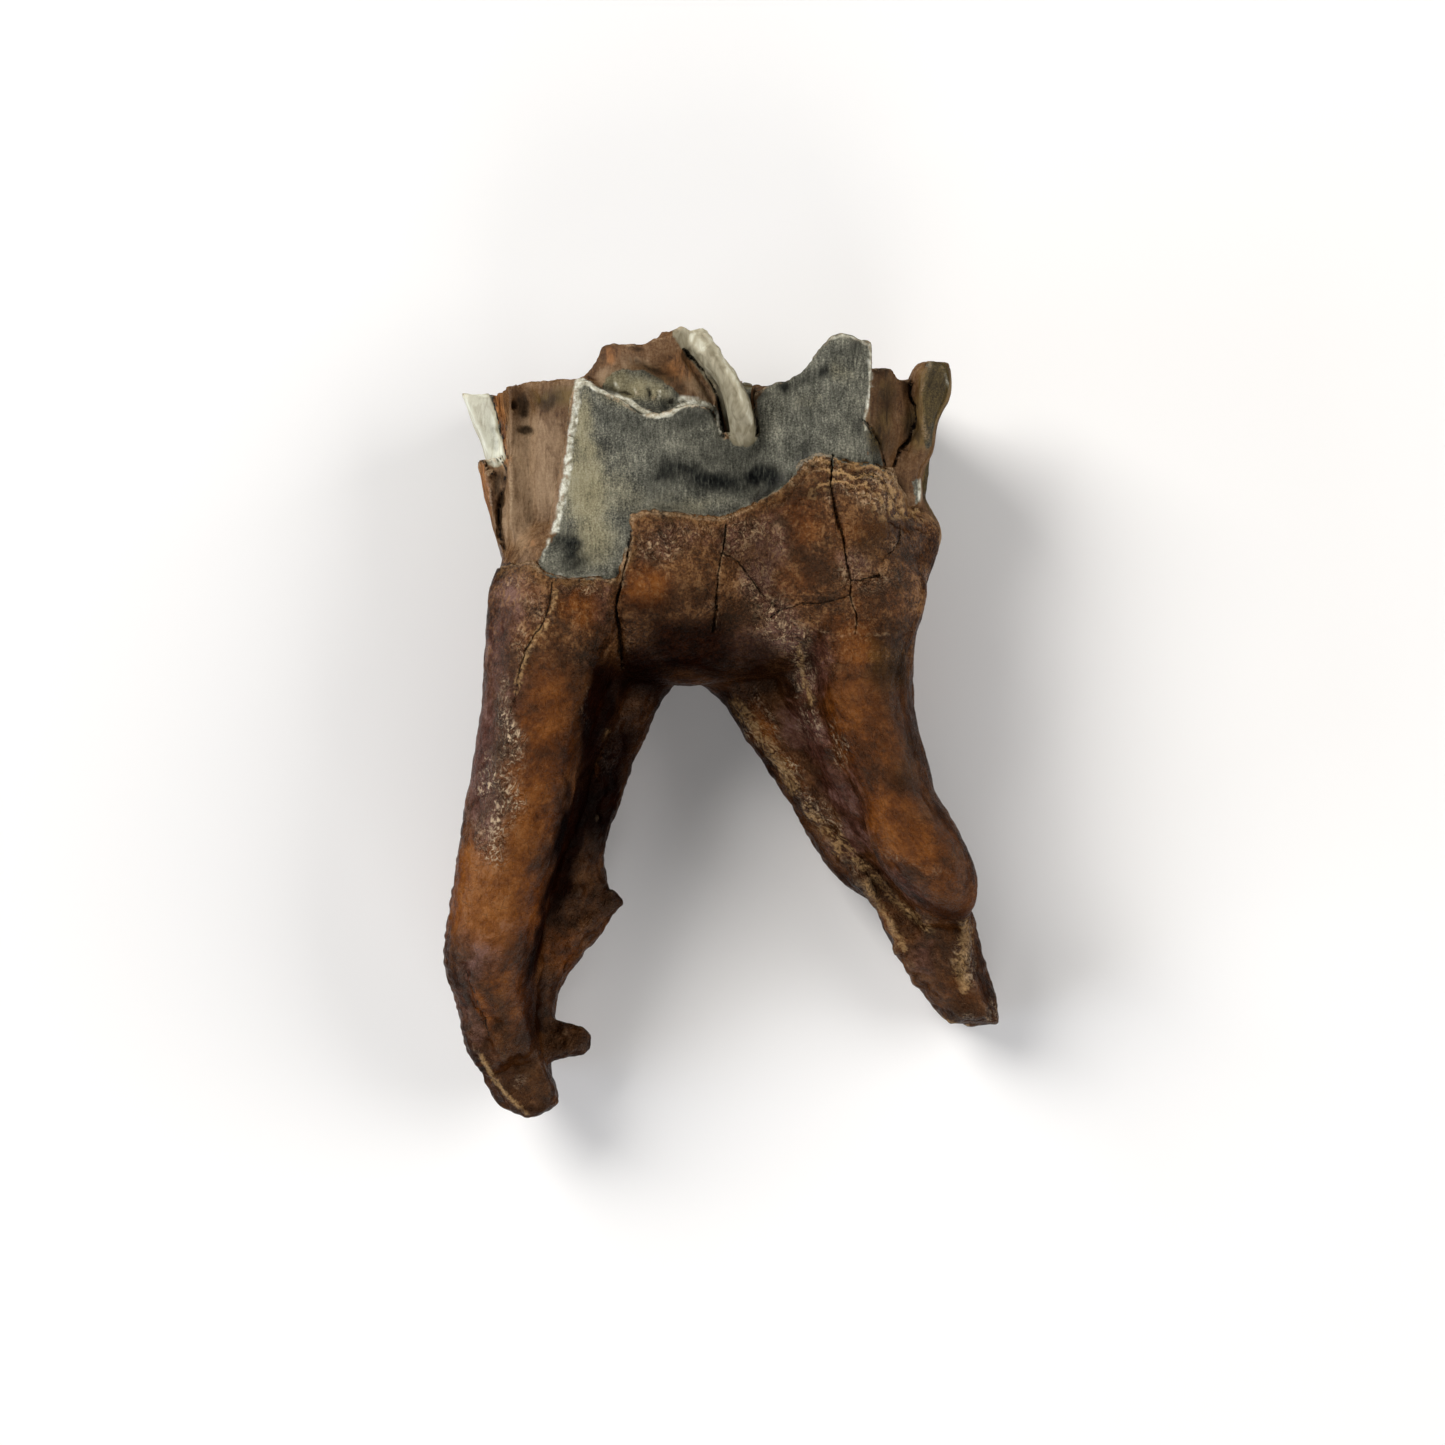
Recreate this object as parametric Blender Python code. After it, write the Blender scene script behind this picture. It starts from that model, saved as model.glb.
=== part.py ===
"""Fossil lower molar of a woolly rhinoceros, lying on its inner side with the cheek side up.

The crown points along +Y, the roots along -Y and the cheek side faces +Z. The tooth rests on Z = 0.
All dimensions below are in millimetres. The finished mesh is in metres.
"""

import math

import bmesh
import bpy
import numpy as np
from mathutils import Vector, noise

METRES_PER_MM = 0.001
VOXEL = 0.42
RING_POINTS = 32
TRUNK_POINTS = 72
RING_STEP = 1.0
WALL_STEP = 0.7
WALL_ROWS = 14
MOST_TRIANGLES = 9400
REST_SINK = 0.6
FLAT = 0.05

# Smoothing: rounds of drawing points together, and the share of the way that a point goes in each. The roots
# and the cement lose their creases, the broken crown hardly any.
ROOT_ROUNDS = 16
EDGE_ROUNDS = 2
SOFT_SHARE = 0.5
CROWN_SHARE = 0.02
# Heights between which the smooth roots turn into the sharp crown, and how deep inside the cement's edge
# the crown is smooth too.
SHARP_CROWN = (15.0, 24.0)
SMOOTH_CEMENT = (0.4, 1.4)

# The relief is pressed into the cheek side alone. The inside of the crown is above the first two heights and
# below the second two depths, and the cement starts to stand proud between the last two heights.
CROWN_HEIGHT = (5.0, 9.0)
CROWN_DEPTH = (16.5, 18.5)
CEMENT_HEIGHT = (5.0, 13.0)
LINE_STEP = 0.1
RELIEF_STEP = 0.6
FAR = 1e9

FOSSIL_BROWN = (0.093, 0.055, 0.03, 1.0)
FOSSIL_ROUGHNESS = 0.45

ENAMEL = 2.4
DENTINE = 5.6
PILLAR_SQUARE = 2.2
COLUMN_SQUARE = 3.6
TRUNK_SQUARE = 2.6

# Each root is two pillars joined by a thin web. A station is a level cut through one of them:
# height y, left and right x, inner and cheek-side z.
MESIAL_CHEEK_PILLAR = (
    (25.0, -20.5, -9.0, 10.0, 19.0),
    (19.0, -23.2, -8.0, 11.0, 24.6),
    (15.0, -24.8, -8.0, 12.0, 26.8),
    (11.0, -25.1, -9.6, 12.3, 27.8),
    (8.0, -25.3, -11.0, 12.5, 28.2),
    (2.0, -26.0, -13.3, 13.0, 28.0),
    (-4.0, -26.8, -15.2, 13.0, 27.3),
    (-10.0, -27.9, -16.5, 12.5, 26.6),
    (-16.0, -28.7, -17.9, 11.5, 25.6),
    (-21.0, -29.5, -19.2, 10.5, 24.4),
    (-25.6, -30.1, -20.4, 9.5, 22.8),
    (-30.0, -29.1, -20.6, 8.5, 20.4),
    (-35.0, -28.0, -19.9, 7.5, 17.6),
    (-39.2, -26.4, -18.6, 6.8, 14.8),
    (-41.8, -24.6, -18.0, 7.2, 12.8),
    (-43.1, -22.0, -19.2, 8.8, 11.2),
)
MESIAL_TONGUE_PILLAR = (
    (18.0, -23.0, -5.0, 3.0, 15.0),
    (10.0, -24.4, -3.6, 1.4, 15.0),
    (5.6, -24.8, -4.0, 1.2, 14.8),
    (3.6, -24.8, -5.5, 1.2, 14.6),
    (1.2, -24.9, -7.2, 1.1, 14.4),
    (-1.0, -25.0, -8.4, 1.0, 14.1),
    (-5.0, -25.4, -10.1, 0.8, 13.4),
    (-10.0, -25.8, -11.9, 0.5, 12.8),
    (-14.6, -26.2, -13.2, 0.2, 12.2),
    (-18.6, -26.5, -12.6, 0.0, 11.8),
    (-22.4, -26.6, -12.8, -0.2, 11.2),
    (-25.2, -26.5, -15.2, -0.3, 10.6),
    (-28.8, -26.1, -17.6, -0.3, 10.0),
    (-32.2, -25.3, -18.3, -0.2, 9.4),
    (-37.3, -23.8, -19.2, 1.0, 8.8),
    (-41.2, -22.0, -18.2, 4.0, 10.4),
)
MESIAL_WEB = (
    (10.0, -25.0, -8.0, 8.0, 21.0),
    (0.0, -25.4, -12.0, 8.0, 20.0),
    (-10.0, -26.6, -15.8, 8.0, 19.0),
    (-20.0, -27.6, -19.0, 7.0, 17.0),
    (-30.0, -27.2, -20.2, 6.0, 15.0),
    (-38.0, -24.8, -19.8, 5.0, 12.0),
)
DISTAL_CHEEK_PILLAR = (
    (24.0, 8.0, 19.0, 10.0, 20.0),
    (18.0, 7.0, 21.0, 11.0, 25.0),
    (13.0, 7.6, 21.7, 12.0, 27.0),
    (9.0, 8.8, 20.6, 12.5, 27.6),
    (6.0, 9.8, 20.3, 12.8, 27.7),
    (2.5, 10.2, 20.2, 13.0, 27.6),
    (0.0, 10.8, 20.7, 13.0, 27.4),
    (-4.0, 12.6, 21.8, 13.5, 27.2),
    (-8.0, 14.5, 22.9, 14.0, 27.0),
    (-12.0, 15.2, 25.2, 14.5, 26.8),
    (-15.5, 17.0, 26.9, 14.5, 26.2),
    (-18.4, 19.4, 27.2, 14.5, 24.8),
    (-20.3, 21.7, 26.7, 15.2, 23.0),
    (-21.4, 23.4, 25.4, 16.8, 21.0),
)
DISTAL_TONGUE_PILLAR = (
    (18.0, 0.0, 20.5, 3.0, 15.0),
    (10.0, -2.6, 20.8, 1.4, 15.0),
    (5.2, -3.4, 20.2, 1.2, 14.9),
    (3.5, -1.9, 20.2, 1.2, 14.8),
    (1.8, 0.2, 20.3, 1.1, 14.6),
    (0.3, 1.0, 20.5, 1.1, 14.4),
    (-2.0, 2.4, 20.8, 1.0, 14.2),
    (-5.0, 4.8, 21.5, 0.8, 14.0),
    (-10.0, 8.1, 23.0, 0.5, 13.6),
    (-14.2, 10.4, 24.6, 0.3, 13.2),
    (-17.8, 13.2, 26.2, 0.1, 13.0),
    (-20.0, 16.4, 27.1, -0.1, 12.8),
    (-24.2, 18.5, 28.3, -0.3, 12.2),
    (-28.0, 20.6, 29.1, -0.3, 11.4),
    (-30.4, 22.4, 30.0, 0.2, 10.6),
    (-32.6, 24.2, 30.6, 1.4, 9.8),
    (-33.6, 27.2, 30.7, 3.2, 8.8),
)
DISTAL_WEB = (
    (10.0, 3.0, 20.5, 8.0, 21.0),
    (0.0, 8.0, 20.8, 8.0, 20.0),
    (-8.0, 12.0, 22.8, 8.0, 19.0),
    (-16.0, 17.4, 25.8, 8.0, 17.5),
    (-22.0, 20.6, 27.2, 7.0, 14.5),
)
DISTAL_COLUMN = (
    (23.0, 17.2, 21.4, 9.0, 22.6),
    (26.6, 18.2, 21.4, 12.0, 22.6),
    (28.8, 19.0, 22.3, 14.0, 22.8),
    (30.4, 19.4, 22.6, 14.5, 22.8),
    (32.4, 20.2, 23.0, 15.0, 23.0),
    (34.4, 20.3, 24.1, 15.0, 23.2),
    (36.4, 19.9, 24.4, 15.0, 23.4),
    (37.6, 20.3, 24.3, 15.2, 23.2),
    (38.4, 21.0, 24.0, 16.0, 22.4),
)
PILLARS = (
    MESIAL_CHEEK_PILLAR,
    MESIAL_TONGUE_PILLAR,
    MESIAL_WEB,
    DISTAL_CHEEK_PILLAR,
    DISTAL_TONGUE_PILLAR,
    DISTAL_WEB,
    DISTAL_COLUMN,
)

# The trunk that both roots leave, up to the floor of the crown's two basins. Its stations end with the depth
# of the furrow between the lobes, on the cheek side and on the inner side.
TRUNK = (
    (3.9, -5.6, -2.6, 10.0, 15.6, 0.0, 0.0),
    (4.5, -9.4, 2.0, 8.0, 18.6, 0.2, 0.0),
    (5.6, -15.6, 9.6, 5.6, 21.2, 0.8, 0.2),
    (7.5, -21.0, 15.5, 3.8, 24.0, 1.6, 0.8),
    (11.0, -24.2, 20.4, 2.6, 26.6, 2.2, 1.4),
    (15.0, -24.6, 21.9, 2.0, 27.4, 2.5, 1.8),
    (17.6, -23.0, 22.7, 1.8, 27.0, 2.6, 1.8),
    (19.2, -22.0, 23.3, 1.8, 26.7, 2.6, 1.8),
    (20.8, -21.6, 23.4, 1.8, 26.3, 2.6, 1.8),
    (22.6, -21.2, 22.5, 1.8, 25.8, 2.6, 1.8),
    (25.0, -21.0, 21.4, 1.8, 25.0, 2.6, 1.8),
    (28.0, -21.0, 20.4, 2.4, 24.2, 2.6, 1.8),
)
FURROW_X = 2.6
FURROW_WIDTH = 4.2

# Spurs and stubs on the roots: centre x, y, z and radius along a short limb.
LIMBS = (
    ((-15.5, -20.6, 6.5, 2.6), (-13.0, -20.0, 7.0, 1.9), (-10.8, -19.4, 7.4, 0.9)),
    ((-19.6, -34.9, 7.0, 2.6), (-17.2, -34.9, 7.6, 2.1), (-14.9, -34.8, 8.0, 1.5), (-14.2, -34.7, 8.0, 0.8)),
)

# Upright walls of the crown. Each follows a line in plan, x and z of its outer face, from a low level to a
# high one, and has a broken top edge given by heights along the wall. A line runs so that the tooth's
# inside is on its left, seen from above the crown.
CHEEK_ENAMEL_FRONT = dict(
    low=((-20.4, 21.6), (-14.5, 25.2), (-9.0, 26.4), (-4.0, 25.8), (0.0, 24.4), (3.8, 23.2)),
    high=((-15.6, 25.6), (-12.2, 27.2), (-8.0, 28.0), (-3.6, 27.6), (0.4, 26.4), (3.8, 25.0)),
    levels=(12.0, 37.2),
    tops=((-15.6, 36.3), (-14.2, 36.1), (-13.1, 35.1), (-11.8, 34.8), (-9.6, 33.4), (-8.2, 32.5),
          (-6.3, 32.4), (-4.1, 33.3), (-2.3, 33.5), (-1.0, 33.0), (0.2, 30.4), (3.8, 30.4)),
    along_x=True,
    thick=ENAMEL,
)
CHEEK_ENAMEL_BACK = dict(
    low=((2.9, 23.2), (6.4, 25.2), (10.0, 26.6), (13.3, 26.6), (16.6, 25.2)),
    high=((3.4, 24.8), (7.0, 26.0), (10.3, 27.2), (13.2, 27.3), (15.5, 26.5)),
    levels=(13.0, 41.0),
    tops=((3.8, 35.0), (4.9, 35.8), (6.8, 36.4), (8.0, 37.2), (10.8, 40.2), (11.7, 41.0),
          (13.0, 41.0), (14.7, 40.2), (15.5, 40.2)),
    along_x=True,
    thick=ENAMEL,
)
MESIAL_ENAMEL = dict(
    low=((-24.9, 8.0), (-25.2, 12.5), (-24.9, 17.0)),
    high=((-27.8, 8.0), (-28.4, 13.0), (-27.9, 18.0)),
    levels=(27.2, 35.4),
    tops=((0.0, 34.0), (0.5, 35.7), (1.0, 35.2)),
    thick=3.0,
)
DISTAL_ENAMEL = dict(
    low=((20.4, 18.5), (21.4, 14.0), (21.4, 9.0), (20.0, 4.4)),
    high=((23.2, 19.5), (23.9, 14.0), (23.4, 9.0), (21.8, 4.8)),
    levels=(22.0, 39.0),
    tops=((0.0, 36.6), (0.2, 37.6), (0.5, 37.0), (0.7, 35.6), (1.0, 35.0)),
    thick=ENAMEL,
)
PROTOCONID = dict(
    low=((-17.6, 21.6), (-13.0, 24.2), (-8.0, 25.2), (-3.5, 24.2), (0.2, 22.6)),
    high=((-16.2, 23.0), (-13.0, 24.8), (-8.0, 25.8), (-3.6, 24.8), (-0.7, 23.4)),
    levels=(16.0, 41.0),
    tops=((-16.2, 36.2), (-14.8, 36.7), (-14.2, 37.4), (-13.4, 38.3), (-13.2, 39.6), (-12.7, 40.2),
          (-9.9, 40.0), (-8.5, 40.0), (-6.9, 40.6), (-5.6, 41.0), (-5.0, 41.7), (-4.3, 41.9), (-3.4, 41.7),
          (-2.6, 39.4), (-1.6, 37.4), (-0.4, 35.4)),
    along_x=True,
    thick=7.0,
)
PARACONID_ARM = dict(
    low=((-22.6, 4.6), (-23.4, 10.0), (-22.6, 16.0), (-20.0, 20.4), (-16.0, 22.6)),
    high=((-23.4, 1.6), (-24.0, 10.0), (-23.4, 16.6), (-20.0, 21.6), (-15.8, 23.8)),
    levels=(14.0, 37.0),
    tops=((0.0, 34.6), (0.16, 36.4), (0.3, 35.2), (0.42, 36.0), (0.56, 35.8), (0.7, 36.3), (1.0, 36.3)),
    thick=DENTINE,
)
METACONID_ARM = dict(
    low=((-2.4, 23.4), (1.4, 19.4), (2.6, 12.0), (2.2, 4.4)),
    high=((-2.6, 23.6), (1.2, 19.4), (2.2, 12.0), (1.9, 1.4)),
    levels=(16.0, 37.0),
    tops=((0.0, 40.0), (0.1, 38.6), (0.2, 36.4), (0.35, 36.6), (0.6, 37.2), (0.8, 36.8), (1.0, 35.8)),
    thick=DENTINE,
)
HYPOLOPHID_ARM = dict(
    low=((2.6, 12.0), (2.8, 19.0), (5.4, 23.8)),
    high=((3.0, 12.5), (3.4, 18.5), (6.0, 22.6)),
    levels=(16.0, 37.0),
    tops=((0.0, 35.2), (0.4, 36.4), (0.8, 35.0), (1.0, 35.4)),
    thick=DENTINE,
)
HYPOCONID = dict(
    low=((4.4, 21.4), (8.0, 24.0), (12.0, 25.2), (16.0, 24.2), (21.0, 20.4)),
    high=((5.0, 22.6), (8.0, 24.4), (12.0, 25.6), (16.0, 24.6), (20.6, 21.6)),
    levels=(16.0, 40.0),
    tops=((5.0, 34.8), (7.0, 35.4), (10.0, 37.6), (12.0, 39.4), (14.4, 39.0), (15.4, 37.4), (17.9, 37.8),
          (18.4, 36.8), (19.2, 36.4), (20.6, 36.2)),
    along_x=True,
    thick=6.4,
)
ENTOCONID_ARM = dict(
    low=((18.4, 21.4), (20.4, 18.0), (21.0, 12.0), (20.0, 7.4), (18.8, 4.2)),
    high=((18.4, 21.8), (20.6, 18.2), (21.2, 12.0), (20.2, 6.0), (19.2, 1.3)),
    levels=(14.0, 38.0),
    tops=((0.0, 36.4), (0.16, 36.0), (0.34, 37.0), (0.6, 36.0), (0.8, 36.8), (1.0, 35.0)),
    thick=DENTINE,
)
TRIGONID_LINING = dict(
    low=((-18.4, 2.6), (-18.4, 10.0), (-17.4, 15.6), (-12.4, 19.0), (-7.0, 20.0), (-3.6, 17.4), (-3.0, 11.0),
         (-3.2, 3.0)),
    high=((-18.0, 3.6), (-18.6, 10.0), (-17.8, 15.8), (-12.4, 19.2), (-7.6, 20.0), (-4.2, 17.6),
          (-3.5, 11.0), (-3.7, 4.0)),
    levels=(22.0, 38.0),
    tops=((0.0, 34.8), (0.16, 36.9), (0.32, 36.0), (0.44, 37.2), (0.6, 37.0), (0.8, 36.9), (1.0, 36.2)),
    thick=1.7,
)
TALONID_LINING = dict(
    low=((8.2, 9.0), (8.3, 15.4), (10.6, 19.4), (13.6, 19.8), (15.8, 17.0), (15.8, 12.0), (13.8, 9.0)),
    high=((7.8, 9.0), (8.0, 15.6), (10.4, 19.4), (13.6, 19.9), (15.9, 17.0), (16.0, 12.0), (13.9, 9.0)),
    levels=(22.0, 38.0),
    tops=((0.0, 35.2), (0.3, 36.4), (0.5, 37.6), (0.75, 36.8), (1.0, 37.0)),
    thick=1.6,
)
METACONID_ENAMEL = dict(
    low=((3.0, 10.0), (2.8, 5.6), (0.2, 3.0), (-3.2, 3.2), (-4.4, 6.4)),
    high=((3.4, 10.0), (3.0, 3.4), (0.2, 0.0), (-3.4, 0.3), (-5.0, 4.4)),
    levels=(15.0, 37.0),
    tops=((0.0, 36.2), (0.3, 37.4), (0.55, 36.0), (0.8, 37.0), (1.0, 35.6)),
    thick=2.0,
)
ENTOCONID_ENAMEL = dict(
    low=((20.4, 7.4), (18.2, 4.6), (14.2, 3.0), (11.4, 4.6), (11.6, 8.4)),
    high=((21.4, 6.6), (19.0, 1.9), (14.0, -0.2), (10.4, 2.2), (11.0, 7.4)),
    levels=(15.0, 37.0),
    tops=((0.0, 35.2), (0.3, 36.6), (0.5, 37.4), (0.8, 36.6), (1.0, 35.8)),
    thick=2.0,
)
PARACONID_ENAMEL = dict(
    low=((-17.6, 8.4), (-18.0, 4.8), (-20.4, 3.0), (-22.8, 5.4), (-23.6, 9.4)),
    high=((-17.4, 7.4), (-17.8, 2.0), (-20.6, -0.2), (-24.2, 3.4), (-25.4, 9.0)),
    levels=(15.0, 36.0),
    tops=((0.0, 35.4), (0.3, 36.0), (0.55, 34.4), (0.75, 32.0), (1.0, 29.0)),
    thick=2.0,
)
CHEEK_CEMENT = dict(
    low=((12.0, 26.8), (14.6, 26.4), (17.2, 25.0), (19.4, 22.6), (21.2, 19.0)),
    high=((12.0, 27.0), (14.6, 26.7), (16.8, 25.5), (18.8, 23.4), (20.6, 20.2)),
    levels=(13.0, 28.0),
    tops=((12.0, 27.7), (14.0, 27.2), (16.0, 27.2), (17.5, 26.6), (18.5, 25.2), (19.2, 23.8), (21.2, 22.2)),
    along_x=True,
    thick=4.0,
)
MESIAL_SCALES = dict(
    low=((-23.6, 9.0), (-24.0, 14.0), (-23.7, 20.0)),
    high=((-26.0, 9.6), (-26.5, 14.0), (-26.2, 19.0)),
    levels=(17.0, 28.0),
    tops=((0.0, 25.4), (0.4, 28.1), (0.7, 26.6), (1.0, 28.1)),
    thick=1.8,
)
MESIAL_RIDGE = dict(
    low=((-24.0, 12.0), (-23.8, 18.0), (-22.4, 21.6)),
    high=((-24.9, 12.0), (-24.8, 17.5), (-23.0, 20.8)),
    levels=(17.0, 36.0),
    tops=((0.0, 34.0), (0.3, 35.0), (0.6, 35.2), (1.0, 36.1)),
    thick=2.0,
)
WALLS = (
    CHEEK_ENAMEL_FRONT,
    CHEEK_ENAMEL_BACK,
    MESIAL_ENAMEL,
    DISTAL_ENAMEL,
    PROTOCONID,
    PARACONID_ARM,
    METACONID_ARM,
    HYPOLOPHID_ARM,
    HYPOCONID,
    ENTOCONID_ARM,
    TRIGONID_LINING,
    TALONID_LINING,
    METACONID_ENAMEL,
    ENTOCONID_ENAMEL,
    PARACONID_ENAMEL,
    CHEEK_CEMENT,
    MESIAL_SCALES,
    MESIAL_RIDGE,
)

# The thick enamel of the fold between the lobes, broken along its length: centre, half width, half depth.
FOLD_ENAMEL = (
    (-3.3, 41.7, 22.8, 1.3, 1.3),
    (-2.9, 40.6, 23.4, 1.5, 1.8),
    (-1.5, 38.8, 24.6, 1.25, 1.9),
    (-0.2, 37.2, 25.2, 1.05, 1.9),
    (0.85, 35.3, 25.8, 1.15, 1.9),
    (1.6, 33.3, 26.0, 1.25, 1.7),
    (1.9, 31.6, 25.6, 1.3, 1.4),
    (2.0, 30.0, 24.9, 1.3, 1.25),
    (2.0, 28.4, 24.0, 1.1, 1.0),
)

# Parts of the cheek side that stand proud of the rest or lie deeper: outline in front view, width of the
# border and rise.
CHEEK_REGIONS = (
    # cement that laps over the foot of the enamel and the left recess, with a ragged upper edge
    (((-30.0, 4.0), (-30.0, 16.0), (-24.0, 16.3), (-20.0, 16.6), (-18.9, 15.6), (-18.0, 15.2), (-14.0, 15.0),
      (-11.3, 15.4), (-10.7, 16.7), (-10.0, 18.7), (-9.9, 22.1), (-8.0, 22.4), (-5.0, 22.2), (-2.0, 21.8),
      (0.0, 22.0), (2.0, 22.6), (4.0, 23.8), (6.0, 24.6), (7.5, 26.3), (8.5, 27.5), (10.0, 28.1),
      (12.0, 28.1), (14.0, 27.5), (16.0, 27.5), (17.5, 26.9), (18.5, 25.5), (19.2, 24.1), (19.2, 23.0),
      (24.0, 22.4), (24.0, 4.0)), 0.35, 0.8),
)

# Grooves and ridges pressed into the skin: a line in front view, half width and rise.
CHEEK_RELIEF = (
    (((-27.8, -26.4), (-27.1, -29.0), (-25.9, -32.0), (-25.1, -34.2)), 0.9, -0.4),
    (((-28.0, -33.0), (-26.4, -36.6), (-24.6, -39.2), (-22.6, -41.4)), 0.7, 0.5),
    (((-23.8, -33.0), (-22.0, -35.4), (-20.8, -38.2)), 0.9, -0.6),
    (((11.4, -12.2), (14.2, -15.0), (16.6, -17.0), (18.4, -19.6), (20.4, -22.4)), 1.0, -1.3),
    (((14.6, -16.6), (16.8, -19.2), (18.6, -22.4), (19.6, -25.6)), 0.9, 0.6),
    (((26.4, -21.6), (26.6, -27.0), (29.0, -32.4)), 0.7, 0.5),
    (((27.6, -23.0), (28.6, -28.0), (30.0, -32.0)), 0.6, -0.5),
    (((21.6, -28.4), (24.0, -27.4), (26.0, -27.8)), 0.9, -0.3),
    (((-10.9, 15.6), (-11.4, 12.0), (-11.1, 8.6), (-11.0, 6.2)), 0.7, -0.5),
    (((20.1, 36.2), (20.3, 34.0), (20.6, 32.2), (19.8, 30.4), (18.6, 28.0)), 0.7, -0.4),
    (((-3.9, 39.0), (-2.6, 37.0), (-1.1, 34.4), (0.1, 30.4)), 0.5, -0.6),
    (((-11.4, 35.4), (-8.4, 36.6), (-5.4, 36.2)), 1.6, -0.7),
)
LUMPS = ((7.0, 0.4), (2.6, 0.14))


def clear_scene():
    for thing in list(bpy.data.objects):
        bpy.data.objects.remove(thing)


def smooth_samples(points, step):
    """Points about step apart on a smooth curve through the given ones, with any number of values each."""
    rows = np.array(points, float)
    padded = np.vstack([2 * rows[0] - rows[1], rows, 2 * rows[-1] - rows[-2]])
    samples = []
    for a, b, c, d in zip(padded, padded[1:], padded[2:], padded[3:]):
        count = max(1, round(float(np.linalg.norm(c - b)) / step))
        for i in range(count):
            t = i / count
            samples.append(
                (2 * b + (c - a) * t + (2 * a - 5 * b + 4 * c - d) * t**2 + (3 * b - a - 3 * c + d) * t**3) / 2
            )
    return np.array([*samples, rows[-1]])


def closed_loft(bm, rings):
    """Bridges rings of equal length and closes both ends."""
    verts = [[bm.verts.new(p) for p in ring] for ring in rings]
    for lower, upper in zip(verts, verts[1:]):
        for i, vert in enumerate(lower):
            j = (i + 1) % len(lower)
            bm.faces.new((vert, lower[j], upper[j], upper[i]))
    bm.faces.new(verts[0][::-1])
    bm.faces.new(verts[-1])


def rounded(value, square):
    """Squares off a sine or cosine, so that level cuts come out as rounded rectangles."""
    return math.copysign(abs(value) ** (2 / square), value)


def add_pillar(bm, stations):
    """A pillar through level cuts."""
    square = COLUMN_SQUARE if stations is DISTAL_COLUMN else PILLAR_SQUARE
    rings = []
    for y, left, right, inner, cheek in smooth_samples(stations, RING_STEP):
        ring = []
        for i in range(RING_POINTS):
            angle = math.tau * i / RING_POINTS
            x = (left + right) / 2 + (right - left) / 2 * rounded(math.cos(angle), square)
            z = (inner + cheek) / 2 + (cheek - inner) / 2 * rounded(math.sin(angle), square)
            ring.append((x, y, z))
        rings.append(ring)
    closed_loft(bm, rings)


def add_trunk(bm):
    """The trunk, with the furrow between the lobes down both sides."""
    rings = []
    for y, left, right, inner, cheek, cheek_furrow, inner_furrow in smooth_samples(TRUNK, RING_STEP):
        ring = []
        for i in range(TRUNK_POINTS):
            angle = math.tau * i / TRUNK_POINTS
            side = math.sin(angle)
            x = (left + right) / 2 + (right - left) / 2 * rounded(math.cos(angle), TRUNK_SQUARE)
            z = (inner + cheek) / 2 + (cheek - inner) / 2 * rounded(side, TRUNK_SQUARE)
            furrow = math.exp(-(((x - FURROW_X) / FURROW_WIDTH) ** 2))
            z -= furrow * (cheek_furrow * max(side, 0) - inner_furrow * max(-side, 0))
            ring.append((x, y, z))
        rings.append(ring)
    closed_loft(bm, rings)


def add_limb(bm, points):
    """A round limb through centres with radii."""
    samples = smooth_samples(points, RING_STEP)
    rings = []
    for i, (x, y, z, radius) in enumerate(samples):
        ahead = samples[min(i + 1, len(samples) - 1)][:3] - samples[max(i - 1, 0)][:3]
        turn = Vector(ahead).to_track_quat("Z", "Y")
        ring = []
        for k in range(RING_POINTS):
            angle = math.tau * k / RING_POINTS
            ring.append(Vector((x, y, z)) + turn @ Vector((math.cos(angle), math.sin(angle), 0)) * radius)
        rings.append(ring)
    closed_loft(bm, rings)


def add_wall(bm, low, high, levels, tops, thick, along_x=False):
    """An upright wall whose outer face leans from the low line to the high one, with a broken top edge."""
    longest = max(np.linalg.norm(np.diff(np.array(low), axis=0), axis=1).sum(), 1)
    count = max(4, round(float(longest) / WALL_STEP))
    lines = []
    for line in (low, high):
        samples = smooth_samples(line, LINE_STEP)
        run = np.concatenate([[0], np.cumsum(np.linalg.norm(np.diff(samples, axis=0), axis=1))])
        even = np.linspace(0, run[-1], count + 1)
        lines.append(np.stack([np.interp(even, run, samples[:, k]) for k in range(2)], axis=1))
    foot, head = lines
    share = np.linspace(0, 1, count + 1)
    top_keys, top_heights = np.array(tops, float).T
    rings = []
    for i in range(count + 1):
        top = float(np.interp(head[i, 0] if along_x else share[i], top_keys, top_heights))
        outer, inner = [], []
        for row in range(WALL_ROWS + 1):
            y = levels[0] + (top - levels[0]) * row / WALL_ROWS
            lean = (y - levels[0]) / (levels[1] - levels[0])
            line = foot + (head - foot) * lean
            along = line[min(i + 1, count)] - line[max(i - 1, 0)]
            along /= np.linalg.norm(along)
            x, z = line[i]
            outer.append((x, y, z))
            inner.append((x + along[1] * thick, y, z - along[0] * thick))
        rings.append(outer + inner[::-1])
    closed_loft(bm, rings)


def add_fold(bm):
    """The bar of broken enamel that runs down from the top of the crown into the fold."""
    samples = smooth_samples(FOLD_ENAMEL, RING_STEP)
    rings = []
    for i, (x, y, z, half_width, half_depth) in enumerate(samples):
        ahead = samples[min(i + 1, len(samples) - 1)] - samples[max(i - 1, 0)]
        across = np.array([-ahead[1], ahead[0]])
        across /= np.linalg.norm(across)
        ring = []
        for k in range(RING_POINTS):
            angle = math.tau * k / RING_POINTS
            side = across * half_width * rounded(math.cos(angle), TRUNK_SQUARE)
            rise = half_depth * rounded(math.sin(angle), TRUNK_SQUARE)
            ring.append((x + side[0], y + side[1], z + rise))
        rings.append(ring)
    closed_loft(bm, rings)


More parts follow.
